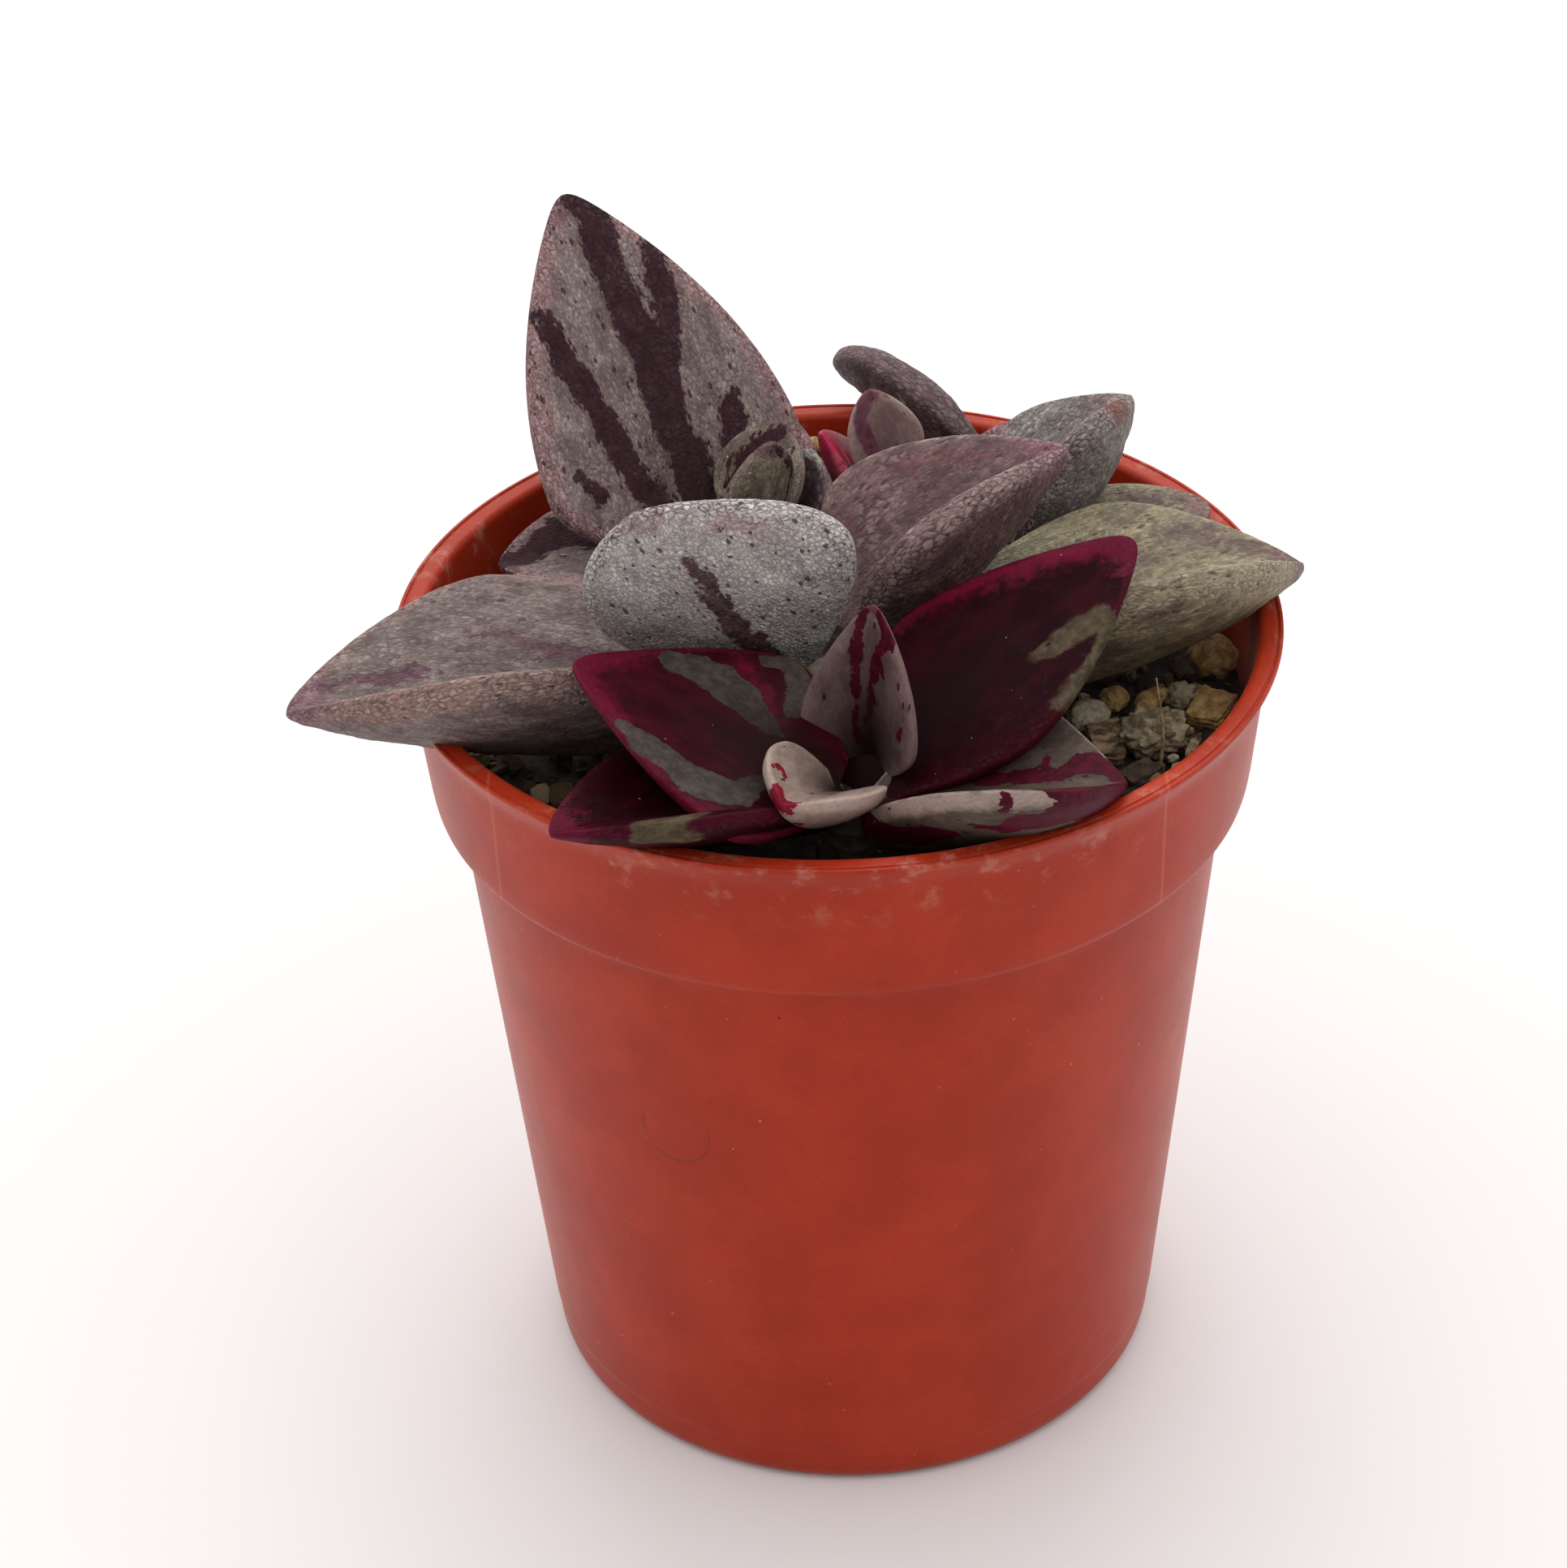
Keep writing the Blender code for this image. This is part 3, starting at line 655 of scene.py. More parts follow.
    def stripe_mask(self, graph: Graph, effects: Effects, place: Socket, tone: Socket) -> Socket:
        """Mask of the stripes, whose edges are ragged and grainy.

        Args:
            graph: The material's graph.
            effects: The shared node groups.
            place: Place on the leaf, in millimetres.
            tone: Tone of each small cell.

        Returns:
            The mask.
        """
        grainy = graph.remap(tone, -0.8 * self.grain, 0.8 * self.grain)
        return graph.use(
            effects.ragged_edge, Distance=graph.total(graph.attribute("stripe"), grainy),
            Place=graph.stretch(place, (0.7, 1.0, 1.0)), Reach=self.mark_reach, Grain=self.mark_grain,
            Softness=self.mark_softness,
        )["Mask"]


OLD_GREY = Skin(
    "old_grey_skin", "old_leaf",
    flesh=(0.27, 0.215, 0.20), shade=(0.165, 0.122, 0.118), crack=(0.045, 0.022, 0.024),
    edge=(0.36, 0.19, 0.20), edge_reach=2.3, tip=(0.13, 0.055, 0.075), tip_reach=1.6,
    mark=(0.024, 0.006, 0.010), mark_light=(0.040, 0.013, 0.019),
    mark_reach=0.22, mark_softness=0.1, mark_grain=1.1, wash=(0.13, 0.075, 0.08),
    cell=0.4, grain=0.28, cracking=0.75, whitening=0.45,
    fleck=(0.035, 0.014, 0.015), flecks=0.42, roughness=0.66, relief=0.09, gloss=0.12,
)
INNER_GREY = replace(
    OLD_GREY, name="inner_grey_skin", flesh=(0.22, 0.185, 0.135), shade=(0.13, 0.10, 0.08),
    edge=(0.26, 0.19, 0.155), edge_reach=0.5, tip=(0.11, 0.05, 0.06), tip_reach=0.8,
    cell=0.3, cracking=0.4, whitening=0.15, dust=0.3,
)
LONG_GREY = Skin(
    "long_grey_skin", "old_leaf",
    flesh=(0.23, 0.178, 0.165), shade=(0.13, 0.095, 0.09), crack=(0.04, 0.02, 0.018),
    edge=(0.33, 0.205, 0.175), edge_reach=1.8, tip=(0.22, 0.10, 0.135), tip_reach=3.0,
    mark=(0.075, 0.03, 0.042), mark_light=(0.13, 0.065, 0.08),
    mark_reach=0.5, mark_softness=0.12, mark_grain=0.6, wash=(0.34, 0.135, 0.105),
    cell=0.46, grain=0.3, cracking=0.65, whitening=0.45,
    fleck=(0.07, 0.028, 0.028), flecks=0.22, roughness=0.66, relief=0.09,
)
PALE_CRACKLED = Skin(
    "pale_crackled_skin", "old_leaf",
    flesh=(0.72, 0.67, 0.65), shade=(0.54, 0.48, 0.465), crack=(0.045, 0.035, 0.034),
    edge=(0.62, 0.56, 0.53), edge_reach=1.3, tip=(0.40, 0.27, 0.28), tip_reach=1.5,
    mark=(0.085, 0.035, 0.048), mark_light=(0.14, 0.075, 0.09),
    mark_reach=0.3, mark_softness=0.1, mark_grain=0.8, wash=(0.42, 0.26, 0.27),
    cell=0.42, grain=0.2, cracking=0.8, whitening=0.9,
    fleck=(0.05, 0.03, 0.032), flecks=0.5, roughness=0.62, relief=0.12,
    gloss=0.15, pale=(0.80, 0.76, 0.74), crackled=0.3,
)
MAUVE = Skin(
    "mauve_skin", "old_leaf",
    flesh=(0.175, 0.10, 0.097), shade=(0.085, 0.038, 0.042), crack=(0.045, 0.02, 0.022),
    edge=(0.38, 0.25, 0.24), edge_reach=1.1, tip=(0.26, 0.105, 0.15), tip_reach=3.0,
    mark=(0.085, 0.026, 0.038), mark_light=(0.14, 0.06, 0.075),
    mark_reach=0.5, mark_softness=0.2, mark_grain=0.7, wash=(0.11, 0.024, 0.03),
    cell=0.6, grain=0.34, cracking=0.7, whitening=0.5,
    fleck=(0.05, 0.012, 0.016), flecks=0.45, roughness=0.64, relief=0.1,
)
NET_GREY = Skin(
    "net_grey_skin", "old_leaf",
    flesh=(0.27, 0.245, 0.22), shade=(0.19, 0.16, 0.15), crack=(0.05, 0.035, 0.034),
    edge=(0.38, 0.30, 0.29), edge_reach=1.2, tip=(0.30, 0.22, 0.21), tip_reach=1.5,
    mark=(0.19, 0.07, 0.06), mark_light=(0.25, 0.11, 0.09),
    mark_reach=0.2, mark_softness=0.2, mark_grain=0.8, wash=(0.15, 0.085, 0.105),
    cell=0.5, grain=0.4, cracking=0.9, whitening=0.5,
    fleck=(0.05, 0.035, 0.035), flecks=0.25, roughness=0.62, relief=0.1,
)
GREY_GREEN = Skin(
    "grey_green_skin", "old_leaf",
    flesh=(0.31, 0.27, 0.16), shade=(0.19, 0.155, 0.105), crack=(0.05, 0.03, 0.024),
    edge=(0.36, 0.30, 0.19), edge_reach=1.4, tip=(0.19, 0.10, 0.10), tip_reach=2.2,
    mark=(0.10, 0.05, 0.06), mark_light=(0.17, 0.10, 0.105),
    mark_reach=0.5, mark_softness=0.35, mark_grain=1.2, wash=(0.115, 0.07, 0.066),
    cell=0.36, grain=0.36, cracking=0.5, whitening=0.35,
    fleck=(0.07, 0.042, 0.04), flecks=0.34, roughness=0.62, relief=0.08,
)
DARK_PLUM = Skin(
    "dark_plum_skin", "old_leaf",
    flesh=(0.06, 0.027, 0.034), shade=(0.032, 0.013, 0.018), crack=(0.02, 0.009, 0.012),
    edge=(0.15, 0.09, 0.095), edge_reach=0.8, tip=(0.30, 0.29, 0.25), tip_reach=0.9,
    mark=(0.27, 0.20, 0.19), mark_light=(0.36, 0.31, 0.28),
    mark_reach=0.35, mark_softness=0.2, mark_grain=0.6, wash=(0.16, 0.115, 0.095),
    cell=0.46, grain=0.3, cracking=0.4, whitening=0.25,
    fleck=(0.3, 0.24, 0.23), flecks=0.06, roughness=0.6, relief=0.07,
)
YOUNG_MAUVE = Skin(
    "young_mauve_skin", "young_leaf",
    flesh=(0.27, 0.185, 0.17), shade=(0.18, 0.11, 0.105), crack=(0.10, 0.05, 0.05),
    edge=(0.34, 0.235, 0.215), edge_reach=0.9, tip=(0.17, 0.035, 0.065), tip_reach=1.0,
    mark=(0.095, 0.024, 0.042), mark_light=(0.16, 0.06, 0.082),
    mark_reach=0.25, mark_softness=0.12, mark_grain=1.2, wash=(0.20, 0.10, 0.12),
    cell=0.4, grain=0.08, cracking=0.15, whitening=0.12,
    fleck=(0.12, 0.04, 0.05), flecks=0.08, roughness=0.5, relief=0.04, gloss=0.2,
)
YOUNG_RED = Skin(
    "young_red_skin", "young_leaf",
    flesh=(0.055, 0.003, 0.010), shade=(0.03, 0.002, 0.006), crack=(0.02, 0.002, 0.006),
    edge=(0.10, 0.004, 0.018), edge_reach=1.0, tip=(0.11, 0.005, 0.023), tip_reach=1.8,
    mark=(0.045, 0.035, 0.028), mark_light=(0.082, 0.066, 0.056),
    mark_reach=0.34, mark_softness=0.03, mark_grain=1.5, wash=(0.15, 0.005, 0.027),
    cell=0.34, grain=0.06, cracking=0.04, whitening=0.02,
    fleck=(0.018, 0.002, 0.005), flecks=0.05, roughness=0.46, relief=0.022,
    gloss=0.06, hollow_shade=0.97, dust=0.12,
)
# A darker copy of the young red skin for the two leaves deep in the rosette: partly their own dark burgundy,
# partly painted shade from the leaves over them.
YOUNG_RED_DARKENED_FOR_SHADE = replace(
    YOUNG_RED, name="young_red_darkened_for_shade_skin", flesh=(0.026, 0.0015, 0.005), shade=(0.013, 0.001, 0.003),
    edge=(0.055, 0.004, 0.012), edge_reach=0.7, tip=(0.10, 0.006, 0.024), tip_reach=2.6,
    mark=(0.05, 0.036, 0.022), mark_light=(0.10, 0.078, 0.05), mark_softness=0.2, gloss=0.03,
)
YOUNG_GREY = Skin(
    "young_grey_skin", "young_leaf",
    flesh=(0.105, 0.078, 0.063), shade=(0.062, 0.043, 0.035), crack=(0.03, 0.02, 0.018),
    edge=(0.36, 0.27, 0.235), edge_reach=0.9, tip=(0.12, 0.03, 0.045), tip_reach=0.8,
    mark=(0.045, 0.002, 0.009), mark_light=(0.09, 0.003, 0.018),
    mark_reach=0.34, mark_softness=0.03, mark_grain=1.3, wash=(0.17, 0.05, 0.06),
    cell=0.34, grain=0.1, cracking=0.1, whitening=0.06,
    fleck=(0.02, 0.005, 0.007), flecks=0.14, roughness=0.5, relief=0.025,
    gloss=0.07, hollow_shade=0.97, dust=0.08,
)
YOUNG_CREAM = replace(
    YOUNG_GREY, name="young_cream_skin", flesh=(0.30, 0.225, 0.19), shade=(0.23, 0.165, 0.14),
    edge=(0.40, 0.30, 0.26), tip=(0.36, 0.26, 0.22), mark=(0.14, 0.004, 0.014),
    mark_light=(0.20, 0.006, 0.024), flecks=0.08,
)
YOUNG_ROSE = replace(
    YOUNG_GREY, name="young_rose_skin", flesh=(0.13, 0.082, 0.08), shade=(0.085, 0.05, 0.05),
    edge=(0.21, 0.135, 0.13), edge_reach=1.6, tip=(0.12, 0.02, 0.04), tip_reach=0.6, flecks=0.2,
)
YOUNG_CRIMSON = replace(
    YOUNG_GREY, name="young_crimson_skin", flesh=(0.25, 0.13, 0.12), shade=(0.17, 0.08, 0.08),
    edge=(0.33, 0.2, 0.18), tip=(0.30, 0.012, 0.045), tip_reach=3.4, mark=(0.30, 0.012, 0.045),
    mark_light=(0.38, 0.02, 0.07), hollow_shade=0.7,
)


@dataclass(frozen=True)
class Marking:
    """A stripe or patch on a leaf, drawn as a stroke along a few points.

    Attributes:
        points: Share of the blade's length, share of the half width to the left, and half of the
            stroke's breadth in millimetres, at each point.
        face: The side of the leaf that it lies on.
        paint: How it is painted.
    """

    points: tuple[tuple[float, float, float], ...]
    face: Face
    paint: Paint


def stripe(*points: tuple[float, float, float], face: Face = Face.UPPER) -> Marking:
    """A stripe or a spot of a leaf's darker or lighter colour."""
    return Marking(points, face, Paint.STRIPE)


def wash(*points: tuple[float, float, float], face: Face = Face.UPPER) -> Marking:
    """A soft wash of colour on a leaf."""
    return Marking(points, face, Paint.WASH)


TALL_MARKINGS = (
    stripe(
        (0.98, -0.4, 0.9), (0.92, -0.55, 1.2), (0.86, -0.26, 1.4), (0.78, -0.13, 1.2), (0.62, -0.1, 1.3),
        (0.54, -0.15, 1.7), (0.44, -0.08, 1.5), (0.34, -0.04, 1.2), (0.27, -0.08, 1.5), (0.21, -0.05, 1.4),
        (0, 0, 1.2),
    ),
    stripe(
        (0.8, -0.9, 0.8), (0.77, -0.82, 0.8), (0.72, -0.66, 1.1), (0.65, -0.52, 1), (0.59, -0.4, 0.9),
        (0.52, -0.25, 1),
    ),
    stripe(
        (0.72, 0.88, 0.6), (0.69, 0.82, 0.75), (0.65, 0.71, 0.85), (0.58, 0.65, 0.95), (0.51, 0.54, 0.95),
        (0.43, 0.46, 0.95), (0.29, 0.39, 0.95), (0.1, 0.3, 0.9),
    ),
    stripe((0.38, -0.61, 0.35), (0.34, -0.51, 0.9), (0.31, -0.51, 0.95), (0.26, -0.39, 0.5)),
    stripe((0.3, 0.77, 0.4), (0.23, 0.68, 0.6)),
)
LEFT_SIDE_MARKINGS = (
    stripe(
        (0.96, 0.1, 0.9), (0.88, 0, 1), (0.83, -0.25, 0.9), (0.76, -0.42, 1.1), (0.67, -0.42, 1.1),
        (0.5, -0.32, 1), (0.2, -0.2, 0.8),
    ),
    stripe((0.75, -0.74, 0.3), (0.7, -0.68, 0.3)),
)
INNER_FAR_MARKINGS = (
    stripe(
        (0.93, -0.5, 0.5), (0.86, 0, 0.5), (0.8, 0.3, 0.6), (0.66, 0.37, 0.6), (0.5, 0.45, 0.5),
        (0.2, 0.6, 0.4),
    ),
    stripe((0.63, 0.7, 0.1), (0.4, 0.7, 0.12), (0.25, 0.8, 0.1)),
)
INNER_NEAR_MARKINGS = (
    stripe((0.8, 0.8, 0.35), (0.7, 0.8, 0.25), (0.6, 0.6, 0.12), (0.4, 0.5, 0.12), face=Face.BOTH),
    stripe((0.95, 0.3, 0.3), (0.92, 0.7, 0.25), face=Face.BOTH),
)
MIDDLE_LEFT_MARKINGS = (
    stripe(
        (0.79, 0.17, 0.35), (0.7, 0.12, 0.6), (0.6, 0.06, 0.75), (0.44, 0.03, 0.85), (0.2, 0, 1),
        face=Face.LOWER,
    ),
    wash((0.85, 0.75, 0.8), (0.75, 0.85, 0.6), face=Face.LOWER),
)
LONG_LEFT_MARKINGS = (
    stripe((0.85, -0.34, 0.4), (0.82, -0.26, 0.6), (0.76, -0.28, 0.65), (0.71, -0.26, 0.3)),
    stripe((0.93, -0.45, 0.35), (0.87, -0.42, 0.3)),
    stripe((0.64, -0.51, 0.3), (0.55, -0.43, 0.3), (0.44, -0.4, 0.4), (0.3, -0.3, 0.3)),
    stripe((0.55, -0.28, 0.1), (0.42, -0.32, 0.15)),
    stripe((0.54, 0.7, 0.15), (0.4, 0.6, 0.25)),
    wash((0.91, 0.95, 0.5), (0.8, 1, 0.55), (0.68, 1, 0.4), face=Face.BOTH),
)
YOUNG_LEFT_MARKINGS = (
    stripe(
        (0.72, -0.8, 0.4), (0.69, -0.72, 0.8), (0.61, -0.64, 1.1), (0.51, -0.53, 1.4), (0.42, -0.43, 1.2),
        (0.32, -0.28, 0.7), (0.26, -0.24, 0.3),
    ),
    stripe((0.39, -0.87, 0.4), (0.31, -0.94, 0.6), (0.26, -0.8, 0.9), (0.24, -0.5, 0.6)),
    stripe(
        (0.76, 0.78, 0.45), (0.68, 0.76, 0.9), (0.58, 0.73, 1.1), (0.49, 0.73, 1.3), (0.39, 0.65, 1.3),
        (0.32, 0.58, 1), (0.28, 0.38, 0.7),
    ),
    wash((0.97, 0.35, 0.7), (0.9, 0.66, 0.7), (0.79, 0.8, 0.5), face=Face.BOTH),
    wash((0.97, -0.4, 0.6), (0.91, -0.65, 0.5), (0.83, -0.78, 0.5), (0.75, -0.9, 0.4), face=Face.BOTH),
    wash((0.47, -0.76, 0.45), (0.36, -0.54, 0.45), (0.28, -0.34, 0.4)),
    wash((0.46, 1, 0.5), (0.35, 0.95, 0.5), face=Face.BOTH),
)
YOUNG_LOW_LEFT_MARKINGS = (
    stripe((0.76, 0.85, 0.8), (0.7, 0.92, 1.1), (0.63, 0.82, 0.9), face=Face.BOTH),
)
YOUNG_CENTRE_MARKINGS = (
    stripe(
        (0.97, 0.6, 0.2), (0.87, 0.53, 0.3), (0.74, 0.36, 0.36), (0.61, 0.27, 0.3), (0.41, 0.24, 0.25),
        (0.2, 0.2, 0.2),
    ),
    stripe(
        (0.95, -0.75, 0.45), (0.84, -0.67, 0.5), (0.77, -0.25, 0.45), (0.64, -0.08, 0.4),
        (0.47, -0.01, 0.36), (0.34, 0.06, 0.3),
    ),
    stripe((0.89, -0.98, 0.2), (0.81, -0.72, 0.12)),
    stripe((0.66, -0.3, 0.15), (0.62, -0.3, 0.1)),
    stripe((0.54, -0.82, 0.12), (0.46, -0.86, 0.15), (0.36, -0.66, 0.2)),
)
YOUNG_LOW_RIGHT_MARKINGS = (
    stripe(
        (0.15, 0.6, 0.4), (0.18, 0.61, 0.5), (0.3, 0.63, 0.65), (0.4, 0.66, 0.75), (0.55, 0.66, 0.75),
        (0.64, 0.72, 0.65), (0.72, 0.87, 0.6), (0.78, 0.79, 0.4),
    ),
    stripe(
        (0.05, 0.3, 0.5), (0.31, 0.35, 0.5), (0.46, 0.24, 0.6), (0.6, 0.18, 0.7), (0.77, 0.19, 0.7),
        (0.9, 0.46, 0.8), (0.97, 0.4, 0.8),
    ),
    stripe((0.72, 0.3, 0.3), (0.74, 0.4, 0.2)),
    stripe(
        (0.59, -0.81, 1), (0.69, -0.83, 1.3), (0.8, -0.91, 1.3), (0.96, -0.85, 1.3), (0.98, -0.2, 1),
        face=Face.LOWER,
    ),
    stripe((0.43, -0.82, 0.35), (0.5, -0.77, 0.5), (0.58, -0.75, 0.7), face=Face.LOWER),
    stripe((0.05, -0.62, 1), (0.14, -0.61, 1.2), (0.25, -0.68, 1), (0.33, -0.73, 0.6), face=Face.LOWER),
    stripe((0.57, -1, 0.12), (0.54, -0.97, 0.1), face=Face.BOTH),
)
YOUNG_RIGHT_MARKINGS = (
    stripe(
        (0.58, -0.36, 0.3), (0.62, -0.43, 0.7), (0.66, -0.48, 0.85), (0.72, -0.6, 0.85), (0.78, -0.76, 0.6),
    ),
    stripe((0.78, -0.97, 0.4), (0.68, -1, 0.4), (0.62, -0.98, 0.45), (0.52, -0.95, 0.5), face=Face.BOTH),
    # Brighter band along the margin: partly the leaf's own crimson, partly a painted sheen.
    wash((0.98, 0.3, 0.8), (0.8, 0.85, 0.9), (0.6, 0.9, 0.7), (0.4, 1, 0.4), face=Face.BOTH),
)
YOUNG_NEAR_MARKINGS = (
    stripe((0.8, -0.82, 0.3), (0.73, -0.65, 0.3), (0.77, -0.45, 0.12)),
    stripe((0.92, -0.7, 0.4), (0.98, -0.9, 0.4), (1, -0.2, 0.5), (0.97, 0.45, 0.35), face=Face.BOTH),
    stripe((0.52, 0.24, 0.3), (0.5, 0.24, 0.2)),
    stripe((0.78, 0.14, 0.5), (0.76, 0.14, 0.4), face=Face.LOWER),
)
REAR_CENTRE_MARKINGS = (
    stripe(
        (0.95, 0.1, 0.35), (0.9, 0.4, 0.5), (0.8, 0.65, 0.5), (0.6, 0.5, 0.45), (0.44, 0.44, 0.45),
        (0.2, 0.35, 0.4), face=Face.BOTH,
    ),
)
REAR_NEAR_MARKINGS = (
    stripe((1, 0, 1.3), (0.9, -0.2, 1.3), (0.81, -0.1, 1.2), face=Face.BOTH),
    stripe((0.62, -0.3, 0.4), (0.58, -0.18, 0.35)),
)
REAR_WIDE_MARKINGS = (
    stripe((1, 0, 0.4), (0.94, -0.4, 0.4), face=Face.BOTH),
    wash((0.8, 0.2, 0.5), (0.55, 0.3, 1), (0.4, 0.2, 1.3), (0.25, 0, 1.3), face=Face.BOTH),
)
MIDDLE_RIGHT_MARKINGS = (
    stripe((0.84, 0.44, 0.15), (0.9, 0.56, 0.2)),
    stripe((0.54, 0.77, 0.2), (0.49, 0.7, 0.15)),
    stripe((0.59, 0.65, 0.15), (0.52, 0.53, 0.12)),
    stripe((0.36, 0.65, 0.25), (0.28, 0.62, 0.3)),
    stripe((0.97, -0.6, 0.3), (0.9, -0.6, 0.4), face=Face.BOTH),
    wash((0.5, 0.75, 0.4), (0.66, 0.65, 0.6), (0.76, 0.52, 0.5)),
    wash((0.3, -0.5, 1), (0.55, -0.6, 1), (0.7, -0.7, 0.6), face=Face.LOWER),
)
LONG_RIGHT_MARKINGS = (
    wash((0.72, 0.55, 0.2), (0.76, 0.62, 0.7), (0.84, 0.64, 0.9), (0.9, 0.56, 0.9), (0.95, 0.4, 0.5)),
    wash((0.7, 0.5, 0.6), (0.66, 0.33, 0.7)),
    wash((0.56, -0.95, 0.4), (0.62, -0.93, 0.35), face=Face.BOTH),
    wash((0.5, -0.7, 1), (0.45, -0.6, 0.8), face=Face.LOWER),
)
RIGHT_SIDE_MARKINGS = (
    stripe((0.72, 0.62, 0.35), (0.76, 0.52, 0.5), (0.8, 0.46, 0.35)),
)
RIGHT_UPPER_MARKINGS = (
    stripe((0.8, -0.97, 0.45), (0.87, -0.95, 0.4), face=Face.BOTH),
    wash((0.72, 0.4, 0.3), (0.84, 0.5, 0.5), (0.9, 0.49, 0.4)),
)


@dataclass(frozen=True)
class Leaf:
    """A thick leaf, folded along its midrib. Its sizes are those of the part's own leaf.

    Attributes:
        node: The part's node that it stands for.
        x: Place of its base, in millimetres to the right.
        y: Place of its base, in millimetres to the rear.
        level: Height of its base, in millimetres.
        heading: Direction that it grows in, in degrees anticlockwise from +X.
        rise: Slope of its base, in degrees.
        length: Length along the midrib, in millimetres.
        half_width: Half its greatest width, in millimetres.
        thickness: Greatest thickness, in millimetres.
        fold: Angle that each half of the blade rises from the midrib, in degrees.
        curl: Change of slope from base to tip, in degrees.
        swing: Change of heading from base to tip, in degrees.
        roll: Turn about its own midrib, in degrees.
        widest: Share of the blade's length at which it is widest.
        neck: Width of its base as a share of its greatest width.
        taper: Power of the outline towards the tip.
        stalk: Length of the narrow base before the blade, in millimetres.
        tip: Radius of its rounded tip, in millimetres.
        skin: Its finish.
        markings: Its stripes and patches.
    """

    node: str
    x: float
    y: float
    level: float
    heading: float
    rise: float
    length: float
    half_width: float
    thickness: float
    fold: float
    curl: float = 0.0
    swing: float = 0.0
    roll: float = 0.0
    widest: float = 0.5
    neck: float = 0.26
    taper: float = 1.9
    stalk: float = 0.0
    tip: float = 0.8
    skin: Skin = OLD_GREY
    markings: tuple[Marking, ...] = ()


